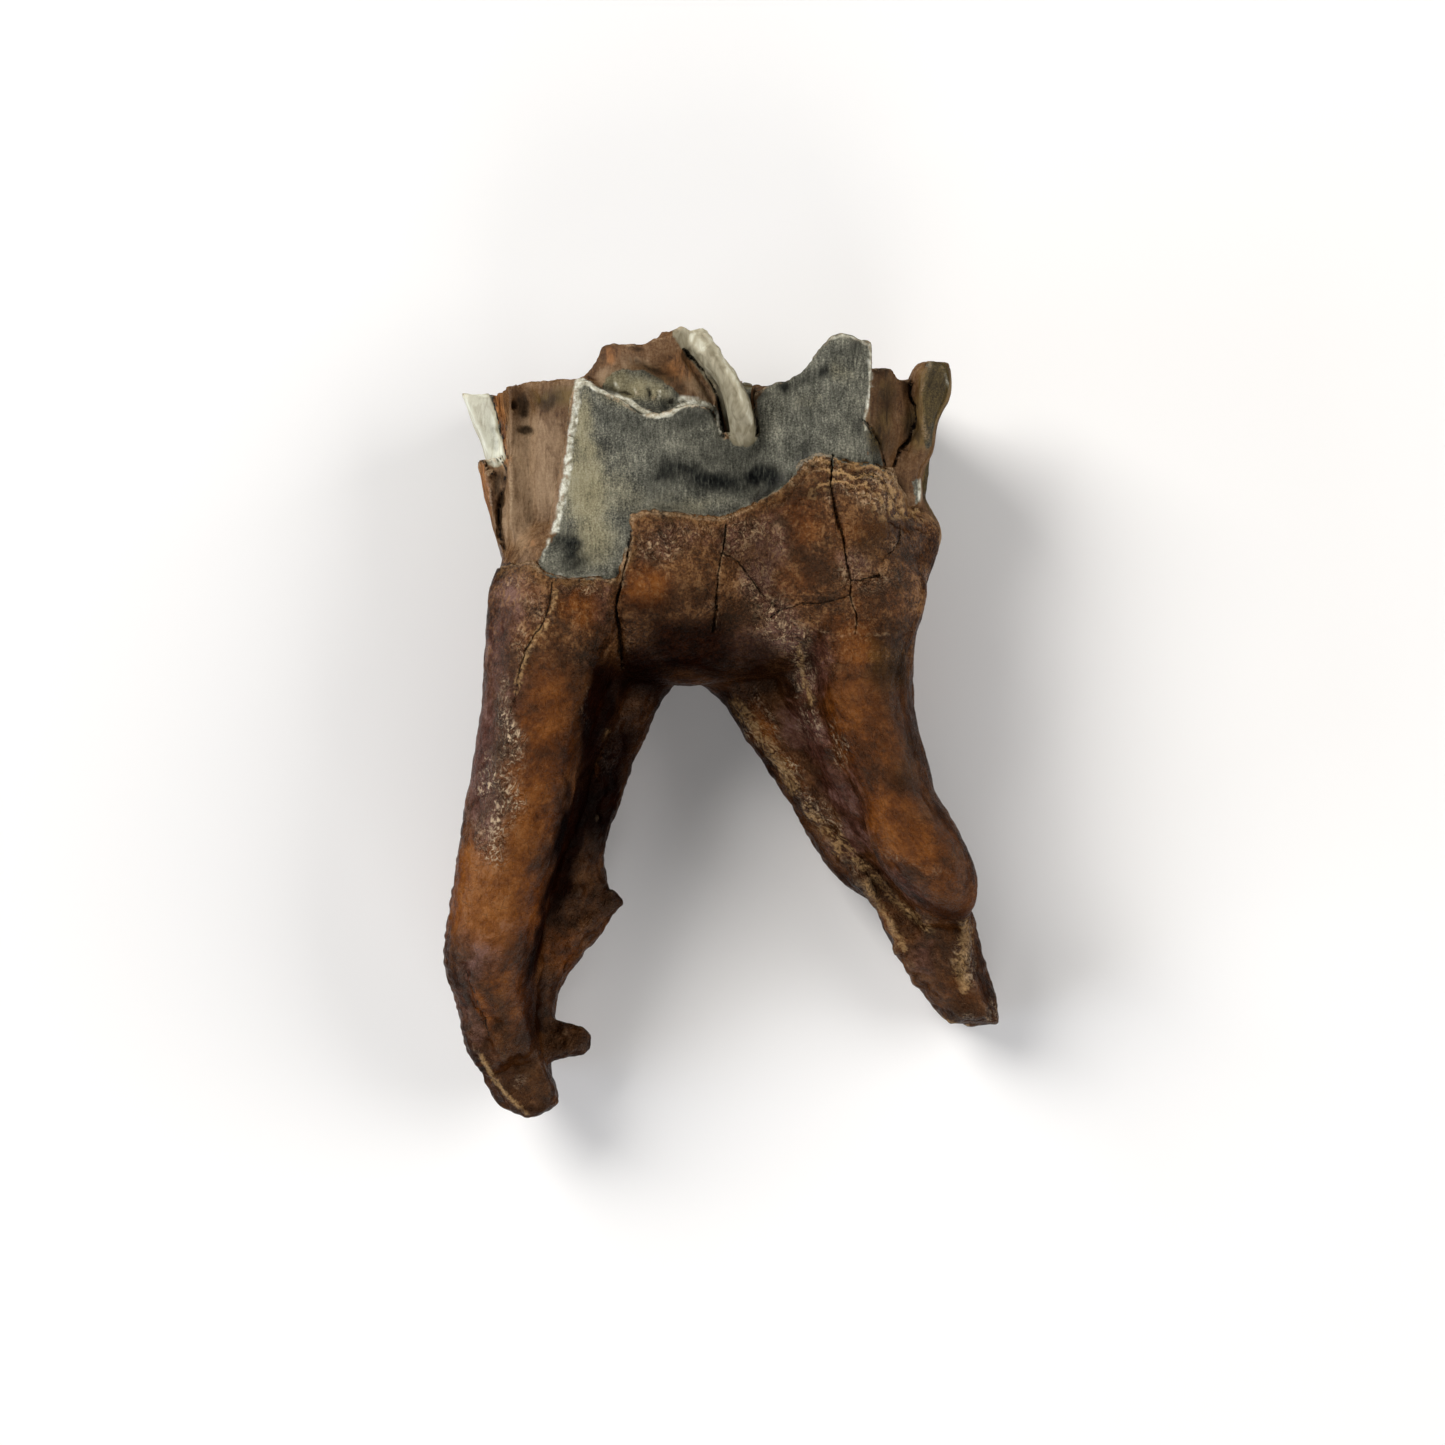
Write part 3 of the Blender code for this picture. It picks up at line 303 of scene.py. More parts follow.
# The cement that laps over the foot of the enamel and the left recess, with a ragged upper edge: its outline
# in front view, and how high it stands.
CEMENT_OUTLINE = (
    (-30, 4), (-30, 16), (-24, 16.3), (-20, 16.6), (-18.9, 15.6), (-18, 15.2), (-14, 15), (-11.3, 15.4),
    (-10.7, 16.7), (-10, 18.7), (-9.9, 22.1), (-8, 22.4), (-5, 22.2), (-2, 21.8), (0, 22), (2, 22.6),
    (4, 23.8), (6, 24.6), (7.5, 26.3), (8.5, 27.5), (10, 28.1), (12, 28.1), (14, 27.5), (16, 27.5),
    (17.5, 26.9), (18.5, 25.5), (19.2, 24.1), (19.2, 23), (24, 22.4), (24, 4),
)
CEMENT_LAP = 0.8

# Grooves and ridges pressed into the skin: a line in front view, half width and rise.
CHEEK_RELIEF = (
    (((-27.8, -26.4), (-27.1, -29), (-25.9, -32), (-25.1, -34.2)), 0.9, -0.4),
    (((-28, -33), (-26.4, -36.6), (-24.6, -39.2), (-22.6, -41.4)), 0.7, 0.5),
    (((-23.8, -33), (-22, -35.4), (-20.8, -38.2)), 0.9, -0.6),
    (((11.4, -12.2), (14.2, -15), (16.6, -17), (18.4, -19.6), (20.4, -22.4)), 1, -1.3),
    (((14.6, -16.6), (16.8, -19.2), (18.6, -22.4), (19.6, -25.6)), 0.9, 0.6),
    (((26.4, -21.6), (26.6, -27), (29, -32.4)), 0.7, 0.5),
    (((27.6, -23), (28.6, -28), (30, -32)), 0.6, -0.5),
    (((21.6, -28.4), (24, -27.4), (26, -27.8)), 0.9, -0.3),
    (((-10.9, 15.6), (-11.4, 12), (-11.1, 8.6), (-11, 6.2)), 0.7, -0.5),
    (((20.1, 36.2), (20.3, 34), (20.6, 32.2), (19.8, 30.4), (18.6, 28)), 0.7, -0.4),
    (((-3.9, 39), (-2.6, 37), (-1.1, 34.4), (0.1, 30.4)), 0.5, -0.6),
    (((-11.4, 35.4), (-8.4, 36.6), (-5.4, 36.2)), 1.6, -0.7),
)

# Unevenness: sizes of the lumps with their heights.
LUMPS = ((7, 0.4), (2.6, 0.14))
EDGE_LUMPS = ((1.3, 0.30), (0.5, 0.16))
GRAIN_LUMPS = ((1.1, 0.075), (0.55, 0.045))
INNER_ROOT_LUMPS = ((2.4, 0.26), (1, 0.16))
BROKEN_LUMPS = ((1.5, 0.22), (0.6, 0.14))
FLOOR_LUMPS = ((3.2, 0.9), (1.2, 0.3))
CEMENT_TOP_LUMPS = ((9, 3), (2.5, 1))
FIBRE_STRETCH = (1, 0.22, 1)
WRINKLE_STRETCH = (0.4, 1.5, 0.4)

# How raggedly lines and stains are drawn: sizes of the sideways shifts with their amounts.
LINE_SHAKE = (1.1, 0.16)
FINE_SHAKE = (0.45, 0.07)
STAIN_SHAKES = ((4, 1.3), (1.4, 0.5), (0.5, 0.15))
# Without a seed, Blender takes these shifts from the clock. Any number but 0 gives the same ones each run.
SHAKE_SEED = 1796070059

# Cement where the photograph shows nothing, and below the outline: heights and depths.
CEMENT_TOP_BEHIND = 19
CEMENT_SKIN = 0.3
ALL_CEMENT_BELOW = 12
DEEP = 5

# The fork of the roots, and how far the front and the back root lean for each millimetre down.
FORK_X = -3
FORK_Y = 3
ROOT_LEANS = (-0.16, 0.42)

# Fine places are seen ones from here on.
CAMERA_HEIGHT = 560
CAMERA_PLANE = 15
PICTURE_WIDTH = 1445 * 0.108
CAMERA_SENSOR = 36
CAMERA_X = -0.15
CAMERA_Y = 0.49
CAMERA_SIGHT = 20

# Cracks of the cheek side: line, half width and depth.
CRACKS = (
    # step in the cement below the front edge of the enamel
    (((-10, 20.6), (-10.4, 18), (-11, 15), (-11.6, 12.5), (-11.3, 10), (-11, 6)), 0.17, 0.6),
    # forked crack in the middle
    (((0.3, 21.2), (0, 19), (-0.6, 16), (-0.8, 12), (-1.1, 9.8)), 0.14, 0.5),
    (((0, 18.3), (1.5, 17.3), (3, 15.5), (4.2, 13.6)), 0.11, 0.35),
    # long crack of the back lobe and its branches
    (((11.8, 28.9), (11.6, 26), (12.2, 22.5), (12.8, 20.5), (13.3, 17.5), (13.8, 15.3), (13.7, 13.7),
     (14.3, 11.5), (14.3, 9.6)), 0.12, 0.45),
    (((13.8, 15.3), (15.3, 15.4), (17, 15.9)), 0.1, 0.35),
    (((13.7, 13.7), (11, 12.9), (8.5, 12.7), (6, 11.9), (5, 11.2)), 0.09, 0.25),
    (((5.2, 12.8), (6, 11.9)), 0.09, 0.25), (((17, 17.3), (18.5, 18.8), (19, 20), (19, 21.2)), 0.08, 0.18),
    # crease down the front root
    (((-18.5, 15.2), (-19, 12), (-20, 10), (-21.3, 8), (-22, 5.5), (-23, 1)), 0.11, 0.2),
    # cracks in the dentine behind the back enamel
    (((15.2, 32.7), (16.7, 30.5), (17.5, 27.6)), 0.12, 0.45),
    (((20.2, 36.8), (20.3, 35), (20.8, 33.5), (20.8, 32.5), (20, 30.8), (19.2, 29.5),
     (18.5, 27.4)), 0.17, 0.6),
    # joint between the fold and the back enamel
    (((3.3, 34.4), (3.6, 33), (3.7, 31.8), (3.6, 30.9)), 0.14, 0.5),
    # slit in front of the fold
    (((-4.2, 40.2), (-3.1, 38.9), (-2, 37.6), (-1, 36), (-0.4, 34.2), (-0.1, 32.4),
     (0.1, 30.7)), 0.17, 0.5),
    # the enamel sliver's foot and the scales below it
    (((-26.1, 28.3), (-25.4, 27.2), (-24.9, 26.8)), 0.12, 0.35),
    (((-24.1, 28.6), (-23.5, 27), (-24, 24.5), (-24.3, 21.6), (-23.8, 18.6)), 0.16, 0.45),
    # dentine torn along the front recess
    (((-24.9, 35), (-24.3, 32.4), (-23.8, 30.4), (-23.3, 28.2)), 0.1, 0.22),
    # crease at the front root's tip
    (((-28, -26.2), (-27.5, -28), (-26.3, -31), (-25.3, -34)), 0.09, 0.15),
)

# Ridges that stand up from the cheek side: line, half width and rise.
RIDGES = (
    # lip above the step crack
    (((-9.6, 19.4), (-10.3, 17), (-10.6, 15)), 0.35, 0.22),
    # folds of the cement beside the front crease
    (((-18, 14), (-18.4, 11.4), (-20.4, 8.6), (-21.4, 6.4), (-22.2, 3)), 0.45, 0.22),
    (((-23.6, 10.4), (-21.6, 9.6), (-19.4, 9), (-16, 8), (-12.6, 6.6)), 0.4, 0.14),
    (((-17, 14.6), (-15.8, 12), (-15.2, 9.6)), 0.4, 0.12),
    # fibres along the inner edge of the back root
    (((1, 2.2), (4, -1.6), (7, -6), (10, -10.6), (13, -14.6)), 0.45, 0.35),
    (((3.6, 3), (6, -0.6), (8.6, -4.8), (9.8, -8.4)), 0.4, 0.24),
    (((6.6, 1.6), (8.4, -2), (11, -6.6), (13.4, -11)), 0.45, 0.18),
    # step where the rough cement ends above the back root
    (((9.8, 10.2), (12.4, 9.4), (14.6, 9.7), (17.4, 9.4), (20.4, 10)), 0.3, 0.22),
    # crest between the front face and the inner flank of the back root
    (((8.6, 9), (9.4, 4), (10.2, -0.5), (11.4, -5), (13.4, -10.4)), 0.6, 0.32),
    # rims of the canal
    (((12.2, -11.8), (14.4, -14.4), (16.6, -16.6), (19.2, -19.2), (22, -21.8)), 0.35, 0.4),
    (((15.2, -17.2), (16.8, -19.6), (18.6, -22.6), (19.4, -24.8)), 0.45, 0.55),
    (((13, -14.6), (14.6, -15.6), (15.6, -17)), 0.4, 0.35),
    # blade of the back root
    (((25.9, -21.8), (26.2, -24.6), (26.4, -27.6)), 0.5, 0.45),
    (((23.7, -31.9), (25.6, -32.6), (28, -33), (29.8, -32.7)), 0.35, 0.25),
    # rim of the front root's cut tip
    (((-27.7, -33.5), (-26, -36.5), (-24.5, -38.8), (-22.8, -40.8), (-21.3, -42.2)), 0.4, 0.35),
    (((-24.6, -31), (-23, -34), (-21.6, -36)), 0.6, 0.25),
    (((-27.2, -27.6), (-26.4, -30.6), (-25, -34), (-23.6, -36.6)), 0.55, 0.4),
    # edge of the scales
    (((-25.4, 26.4), (-24.9, 23), (-24.3, 19.4)), 0.4, 0.35),
    (((-22.9, 28.6), (-22.8, 25), (-22.9, 21)), 0.22, 0.25),
    # torn dentine by the sliver
    (((-23, 35.6), (-22.8, 33), (-23, 30.2)), 0.45, 0.3),
    # fold of the back edge
    (((22.4, 38.6), (21.6, 36.2), (21.4, 33.6), (21.9, 30.8)), 0.5, 0.4),
    # middle of the dome, and the lip of the enamel below it
    (((-12.4, 35.3), (-10.4, 34.4), (-8.4, 33.4), (-6.4, 33.3), (-4.6, 34.2), (-2.6, 34.4),
     (-1.2, 33.9)), 0.38, 0.3),
)

# Pits and knobs of the cheek side: middle, half width, half height, turn in degrees and rise.
SPOTS = (
    (-21.7, 34.2, 1, 1.4, 20, -0.35), (-20.5, 35.2, 0.5, 0.9, 30, -0.3), (-21.3, 31.5, 0.8, 0.4, -15, -0.3),
    (-22.5, 34.3, 0.3, 0.4, 0, -0.5), (-17, 35, 2.2, 1.6, 0, 0.25), (-8.6, 36.6, 4, 1.7, -4, -0.6),
    (-7.9, 35.3, 0.35, 0.7, 0, -0.35), (-6, 34.6, 0.6, 0.4, 20, -0.35), (-10.6, 35.5, 0.9, 0.4, -15, -0.45),
    (-0.2, 32.9, 0.35, 1.5, 15, -0.6), (-11.4, 36.4, 0.4, 0.8, 10, 0.25), (-9.3, 35.9, 0.4, 0.9, -10, 0.25),
    (-5.4, 34.9, 0.35, 0.5, 0, -0.35), (2.4, 32, 0.6, 0.8, 20, -0.22), (-14.9, 37.1, 0.5, 0.35, 0, -0.3),
    (-16, 33.4, 0.3, 0.5, 0, -0.4), (-21.5, -38.3, 1.1, 0.8, -20, 0.3), (-24.6, -37.3, 1, 0.8, 0, 0.45),
    (19.4, -24.2, 0.8, 0.7, 0, 0.7), (20.4, -26.2, 1, 1, 0, 0.9), (20.9, -28, 0.8, 0.6, 0, 0.6),
    (23, -25.4, 1.2, 1.4, 20, -0.35), (22.6, -29.4, 1.4, 0.8, 20, 0.3), (26, -30.6, 1.2, 0.9, -20, -0.3),
    (17.4, -16.9, 0.7, 0.6, 0, 0.35), (11, -12.4, 0.6, 0.9, 30, 0.3), (14.4, -17, 0.6, 0.7, 20, 0.35),
    (17.6, -22.4, 0.5, 0.9, 30, 0.3), (-17.4, -33.4, 0.7, 0.6, 0, 0.35), (-16.4, -35.6, 0.6, 0.5, 0, 0.3),
    (-12.2, -18.6, 0.6, 0.4, 30, 0.35), (-14, -22.2, 0.6, 0.8, 30, 0.25), (-11.8, -19.8, 0.8, 0.5, 0, 0.3),
    (-17.6, -20, 1, 1.4, 20, 0.35), (-16.2, -24.4, 0.9, 1.2, 30, 0.3), (-17, -30, 0.8, 1.6, 15, 0.3),
    (-18.2, -34.6, 1.1, 0.7, 0, -0.4), (-15.6, -18.6, 1, 0.8, 0, 0.45), (-13.4, -17.6, 0.7, 0.6, 0, 0.5),
    (-14.4, -20.6, 0.9, 0.5, 20, -0.4), (-15.8, -22, 0.6, 1, 20, 0.4), (-17.8, -26.8, 0.7, 1.2, 10, 0.4),
    (-15.8, -26.6, 0.6, 0.9, 0, -0.35), (-17.2, -31.8, 0.6, 0.9, 0, 0.4), (-16, -33.4, 0.5, 0.6, 0, -0.35),
    (-12.6, -3, 0.6, 1, 0, 0.3), (-13.2, -9.6, 0.7, 0.8, 0, -0.35), (-12.4, -14, 0.6, 0.8, 0, 0.35),
    (-13.6, -7, 0.7, 1.4, 10, 0.35), (-13.6, -12, 0.8, 1.6, 10, 0.35), (-15.2, -15.4, 0.6, 0.9, 0, 0.25),
    (10.9, 0.4, 0.5, 0.6, 0, 0.3), (11.4, -2.6, 0.4, 0.6, 0, 0.28), (12.6, -6.6, 0.4, 0.5, 0, 0.25),
    (9.9, 3, 0.5, 0.7, 0, 0.25), (7.2, 7.6, 0.7, 0.9, 20, -0.2), (11, 9.4, 0.5, 1, 0, 0.22),
    (4.4, 13.2, 0.3, 0.3, 0, -0.2),
)

# Flat faces where the roots are broken off: middle, outward direction and reach.
FACETS = (
    ((-22, -39.8, 13), (0.12, -0.36, 0.92), 5.6), ((-25.2, -40, 10.6), (-0.76, -0.44, 0.48), 4.4),
    ((-19.2, -42.2, 10), (0.55, -0.83, 0.1), 2.6), ((27.4, -33, 6), (0.05, -0.97, 0.25), 4.6),
    ((30.2, -29.4, 7.6), (0.96, -0.2, 0.2), 5.2),
)

# Where enamel shows on the cheek side, as seen outlines.
ENAMEL_AREAS = (
    # both lobes, down under the cement
    ((-15.8, 36.9), (-14.4, 36.4), (-13.4, 35.8), (-12, 35.5), (-9.8, 34.3), (-8, 33.1), (-6, 33), (-4, 34),
     (-2.5, 34.2), (-1, 33.8), (-0.4, 32), (0.2, 30.6), (3.3, 30.9), (3.7, 31.5), (3.6, 34.8), (5, 37.4),
     (7, 38), (9.5, 40.4), (11.7, 42.6), (16.4, 42.6), (15.8, 36), (15.5, 34), (15.2, 32.5), (15.7, 31),
     (15.7, 24), (-8, 18), (-11, 13), (-19.2, 14.6), (-20.2, 17.4), (-19, 19), (-18, 20.5), (-17.6, 23),
     (-17, 26), (-16.8, 28), (-16.5, 31), (-16, 34)),
    # fold
    ((-5.4, 42), (-4.8, 43.4), (-1.4, 43), (0.4, 40), (1.8, 37.4), (3.5, 34), (3.6, 31.4), (2.4, 30.4),
     (1.2, 31.8), (0.8, 33.4), (0, 35.6), (-1, 37.8), (-2.4, 39.4), (-3.6, 40.8)),
    # sliver
    ((-28.6, 34.6), (-26.4, 36.4), (-25, 35.6), (-24.4, 33), (-23.9, 31), (-23.7, 29.2), (-24.3, 28),
     (-24.9, 28.2), (-26, 29.4), (-27.6, 32.4)),
    # remnant under the back lobe
    ((20.4, 26.1), (22.6, 26.1), (22.6, 24), (21.6, 23), (20.8, 23.6)),
    # dome of the front cusp
    ((-13.2, 36), (-12.4, 37.6), (-11, 38.2), (-9, 38.1), (-7, 37.3), (-5.4, 36.2), (-4.7, 35.2),
     (-3.6, 34.6), (-3.4, 33.6), (-6.4, 32.7), (-8, 32.7), (-9.8, 33.8), (-11.8, 34.9)),
    # outer half of the back edge
    ((22.2, 39.4), (25, 39.4), (25.4, 36), (25, 33.6), (23.4, 31.8), (22.9, 30), (21.9, 29.5), (21.6, 31.5),
     (21.5, 33.5), (21.5, 36)),
    # strip beside the crack behind the back enamel
    ((15.3, 32.5), (16.7, 30.4), (17.4, 27), (15.4, 27), (15.6, 31)),
)

# Stains of the cheek side: middle, half width, half height, turn in degrees and strength.
ORANGE_STAINS = (
    (-24.8, -18.8, 5.8, 6.6, 0, 1.4), (-20.4, -5, 3.6, 14, -8, 0.95), (-19.4, -3.6, 1.8, 5.6, -8, 0.65),
    (-18.6, 1.6, 2, 3.2, 0, 0.45), (-19.6, -12, 1.8, 5, -8, 0.45), (-21.5, 9, 2, 2.4, 0, 0.5),
    (-24, -27.5, 2, 4, 10, 0.75), (-26.2, -30.8, 0.9, 3.8, 22, 1), (-17.6, -24.6, 2.2, 3.4, 20, 0.75),
    (-22, -30, 2.2, 5, 0, 0.7), (24, -19.8, 3.2, 2.4, 0, 0.8), (-24.4, -36, 2.4, 3.6, 20, 0.4),
    (-15.4, 12, 3, 2.4, 0, 0.85), (-21.6, 13.4, 2.2, 2, 0, 0.4), (-7.6, 17.6, 3.4, 2.4, 0, 0.4),
    (8.8, 21.6, 2.4, 3.6, 0, 0.62), (15.4, 20.8, 4, 1.6, 5, 0.65), (-8, 15, 2.8, 3.2, 0, 1),
    (14.6, 8, 4.2, 2.8, 0, 0.8), (8, 15.8, 4, 2.4, 20, 0.5), (14.4, -1, 5.6, 9, 14, 0.65),
    (13.4, 3, 3.2, 4, 0, 0.6), (12.4, 9.4, 1.8, 3, 0, 0.6), (17.6, -9.6, 3.8, 3.6, -30, 0.95),
    (20.8, -13.4, 4, 3.6, -30, 0.85), (23.8, -17.6, 3.4, 3, 0, 0.75), (4.6, -0.6, 1.2, 3.4, 33, 0.9),
    (17.4, -21.2, 0.8, 3, 32, 0.7), (6.8, -4.2, 1, 3.2, 33, 0.75), (9.2, -8.6, 0.9, 2.4, 33, 0.6),
    (16.2, 12.4, 3.4, 3, 0, 0.45), (25.4, -28.6, 2.4, 3, 20, 0.4), (-25.4, 24.8, 0.9, 3.2, 8, 1.2),
    (-23.9, 32, 0.8, 3.8, 10, 1.2), (-5, 38.4, 2.2, 2.4, 30, 0.55), (-12.6, 39.6, 1.2, 1.2, 0, 0.6),
    (-21, 19.6, 1.6, 2, 0, 0.2),
)
# The dark ones are partly real stains and partly painted shade: in the fork between the roots, the grooves
# beside the inner pillars and the shaded right sides of the roots.
DARK_STAINS_AND_SHADE = (
    (-3.4, 8.2, 6.6, 3.8, 0, 1), (-9, 5.4, 4.2, 4, 0, 0.95), (3.4, 6.6, 4, 3, -35, 0.7),
    (-13.4, 1, 1.8, 6.4, -12, 1.2), (-13, -7, 2.4, 7, -12, 1.4), (-16.8, -14, 1.4, 9, -14, 1.3),
    (-20.2, -24, 1, 6.4, -10, 1), (-20.6, -31, 1.2, 4.6, 0, 0.7), (-22, -24.6, 2.4, 1.6, 0, 0.3),
    (-22.4, -36.8, 2.6, 3.2, 0, 0.4), (24.4, -20.6, 3, 2, -20, 0.55), (17.6, 5.2, 1.8, 2.4, 0, 0.5),
    (19.4, -6.4, 2.4, 0.9, -20, 0.5), (-20.4, -41.6, 2, 0.8, 20, 0.6), (18, -18.8, 2.8, 0.8, -52, 0.6),
    (-7.4, 12.4, 3.4, 2.8, 0, 0.6), (16.6, 21, 3.6, 2, 0, 0.3), (-2.4, 13.4, 3, 2.4, 0, 0.45),
    (8.4, 18.6, 1.2, 2.4, 0, 0.3), (14.8, 18.4, 2.2, 2.4, 0, 0.3), (-6.6, 13, 3.6, 2.4, 0, 0.45),
    (2.4, 10.6, 3, 2, 0, 0.4), (17.4, 9.4, 2.6, 2.2, 0, 0.45), (19.2, 3, 2, 4.6, 0, 0.25),
    (-17.8, 7.2, 1.4, 2.6, 20, 0.35), (-4.6, 26.7, 3.6, 1.1, 8, 0.95), (-0.8, 26.2, 3.2, 1.4, 0, 1.1),
    (3.6, 27.2, 2.6, 1.2, 10, 1.15), (5.2, 26.2, 1.4, 1.8, 0, 1.15), (-5.8, 27.6, 0.8, 1.8, 0, 0.55),
    (0.4, 29, 5, 1.6, 0, 0.45), (-6, 24.2, 3, 1.4, 0, 0.35), (-8, 25, 2.6, 0.8, 0, 0.35),
    (-3.2, 32.4, 3.6, 1.1, 0, 0.55), (-10, 32.2, 3, 1.4, -18, 0.4), (2.8, 29.2, 1.8, 1.2, 0, 0.45),
    (-17.2, 18.4, 1.3, 1.6, 20, 1), (-15.8, 17, 1.8, 0.8, 0, 0.75), (7, 36.2, 0.9, 0.8, 0, 1),
    (10.6, 38.2, 1.5, 0.9, 45, 0.95), (8.9, 36.9, 0.6, 0.5, 0, 0.6), (12.4, 40.2, 1, 0.8, 0, 0.5),
    (14.8, 40.6, 0.8, 0.9, 0, 0.6), (8.8, 33.6, 1.6, 2, 0, 0.25), (-21.7, 34.2, 1.3, 1.8, 20, 0.55),
    (-20.4, 35.4, 0.5, 0.7, 30, 0.5), (-21.3, 31.5, 0.9, 0.45, -15, 0.48), (-7.9, 35.5, 0.4, 0.8, 0, 0.85),
    (-6, 34.6, 0.9, 0.6, 20, 0.75), (-10.6, 35.5, 0.9, 0.35, -15, 0.45), (3.6, 17.6, 3, 4.4, 20, 0.48),
    (-4.4, 35.8, 0.9, 0.9, 0, 0.6), (-0.2, 32.9, 0.4, 1.7, 15, 1), (-9.6, 40.5, 1, 0.4, 0, 0.7),
    (-8, 38.7, 3.8, 0.6, -12, 0.65), (-6, 39.6, 0.7, 1.6, 20, 0.5), (17.4, 32.6, 1.8, 5, 0, 0.6),
    (17.2, 35.8, 1.6, 1.2, 0, 0.5), (20.8, 32, 0.9, 4.6, 0, 0.5), (23.4, 34.4, 0.9, 1.6, -15, 0.4),
    (-13, 40.4, 1.4, 0.5, 0, 0.55), (-15, 37.3, 0.6, 0.35, -30, 0.8), (17.4, 37.4, 1.2, 0.8, 0, 0.7),
    (19.6, 36.2, 0.7, 1.4, 0, 0.75), (20.6, 31.6, 1, 2, 0, 0.6), (-23.8, 26, 0.4, 2.4, 0, 0.6),
    (3, 36, 1.4, 1.6, 0, 1),
)
PURPLE_STAINS = (
    (-26.4, -3, 2, 11, 4, 1), (-24.4, 8, 1.8, 5, 0, 0.8), (-23, 12.6, 2.6, 3.4, 0, 0.75),
    (-26.8, -25.6, 2.4, 3, 0, 0.6), (-27.4, -33, 1.4, 5, 20, 0.4), (-22.6, 3.4, 1.6, 4.4, 0, 0.5),
    (-13, 13.6, 1.6, 3.6, 0, 0.5), (-5.4, 20, 4.6, 2, 0, 0.4), (1.6, 20.4, 3, 1.8, 20, 0.6),
    (5.2, 19.6, 2.4, 3.2, 20, 0.7), (3.6, 15.6, 2.4, 2.6, 0, 0.8), (6, 10.6, 2.6, 3.4, 20, 0.95),
    (2.6, 8.4, 3, 2, 0, 0.6), (14, 17.4, 2.4, 1.4, 0, 0.6), (9.6, 6.4, 2.6, 3.4, 0, 0.7),
    (9, -1, 2, 4.6, 28, 0.85), (12.4, -7.4, 1.8, 4.6, 32, 0.8), (14, -12.6, 2.2, 2.4, 20, 0.7),
    (19.4, -17.6, 3.4, 0.9, -42, 0.6), (21.8, -25.4, 1.6, 2.6, 20, 0.6), (19.4, 14, 1.6, 3, 0, 0.25),
    (-22.6, -22.6, 2.4, 2, 0, 0.3),
)
# Pale ones are scuffs on the crown; on the roots they are pale fibres and painted glints of light along the
# wrinkles.
PALE_STAINS_AND_GLINTS = (
    (-22.9, -1.4, 1.5, 4.4, 8, 1), (-24, -7.6, 2.4, 3.8, 10, 1.2), (-25, -12.6, 2.2, 3, 0, 1),
    (-23.2, 3.8, 0.7, 2, 8, 0.5), (-20, 11.6, 0.8, 2.4, 25, 0.4), (-12.2, -4.4, 1.3, 3, 10, 0.3),
    (-14.6, 1.4, 0.6, 2.2, 0, 0.6), (8.4, 7, 1.2, 4, 0, 0.8), (9, 1, 1, 3.6, 20, 0.6),
    (12.6, -2.4, 0.9, 3, 10, 0.6), (5.4, 0.2, 0.8, 2.4, 33, 0.6), (3.2, 2.4, 0.7, 1.2, 33, 0.5),
    (11, -10.6, 1.2, 2.4, 33, 0.5), (14, -15.6, 1.4, 1.2, -20, 0.4), (26.2, -25, 1.2, 3.2, 3, 0.6),
    (3.6, -0.4, 1, 2.6, 33, 0.9), (6.4, -4.6, 1.1, 3.2, 33, 1), (9, -9, 1, 2.6, 33, 0.8),
    (-25, -17, 3, 3.6, 0, 0.22), (19.4, -14.6, 2.4, 0.8, -20, 0.36), (22.8, -16.2, 1.8, 0.8, 0, 0.3),
    (27.8, -32.3, 2, 0.5, -5, 0.6), (29.2, -31, 0.5, 1.4, 15, 0.5), (-21.5, -38.3, 0.9, 0.7, 0, 0.95),
    (0.6, 22.4, 2.6, 0.8, 0, 0.9), (3.4, 24.4, 1.6, 0.6, 30, 0.8), (6, 25.8, 1.4, 0.8, 40, 0.6),
    (2.6, 20.6, 3, 2, 20, 0.7), (5.6, 19.4, 2.4, 3, 20, 0.4), (3.4, 15.2, 2.6, 2.8, 0, 0.65),
    (5.6, 10.6, 2.8, 3.6, 20, 0.9), (-6.6, 19.4, 2.6, 1.8, 0, 0.7), (-4.6, 20.8, 3.4, 1, 0, 0.55),
    (14, 17, 2.6, 2, 0, 0.5), (16.4, 15.6, 2.4, 1.6, 0, 0.4), (-15, 13.4, 2.4, 0.5, -8, 0.7),
    (-20.4, 12.2, 1.4, 1.6, 30, 0.5), (-21.6, 8.4, 0.8, 2.4, 15, 0.6), (2.6, 16.4, 1.8, 1.6, 0, 0.45),
    (-15.4, 14.2, 2.6, 0.7, 0, 0.45), (-21.4, 14.6, 2.4, 0.9, -10, 0.55), (13.6, 25.4, 2, 0.8, -10, 1),
    (11.4, 23.6, 0.5, 1.6, 0, 0.6), (16.4, 24.4, 2.4, 0.7, -25, 1), (10, 27.6, 3.4, 0.8, 0, 0.8),
    (16.6, 26.4, 2.2, 0.9, -30, 0.9), (8, 25.8, 1.6, 0.6, 40, 0.6), (7.4, 10.2, 0.5, 1.2, 0, 0.8),
    (-8, 19.8, 0.6, 2, 0, 0.3), (18.4, 19.4, 0.4, 1.6, -10, 0.5), (-1, 12.6, 0.7, 1, 0, 0.4),
    (-11, 8.4, 0.4, 2.4, 0, 0.6), (-24.6, 24.2, 0.5, 2.6, 8, 0.6),
)
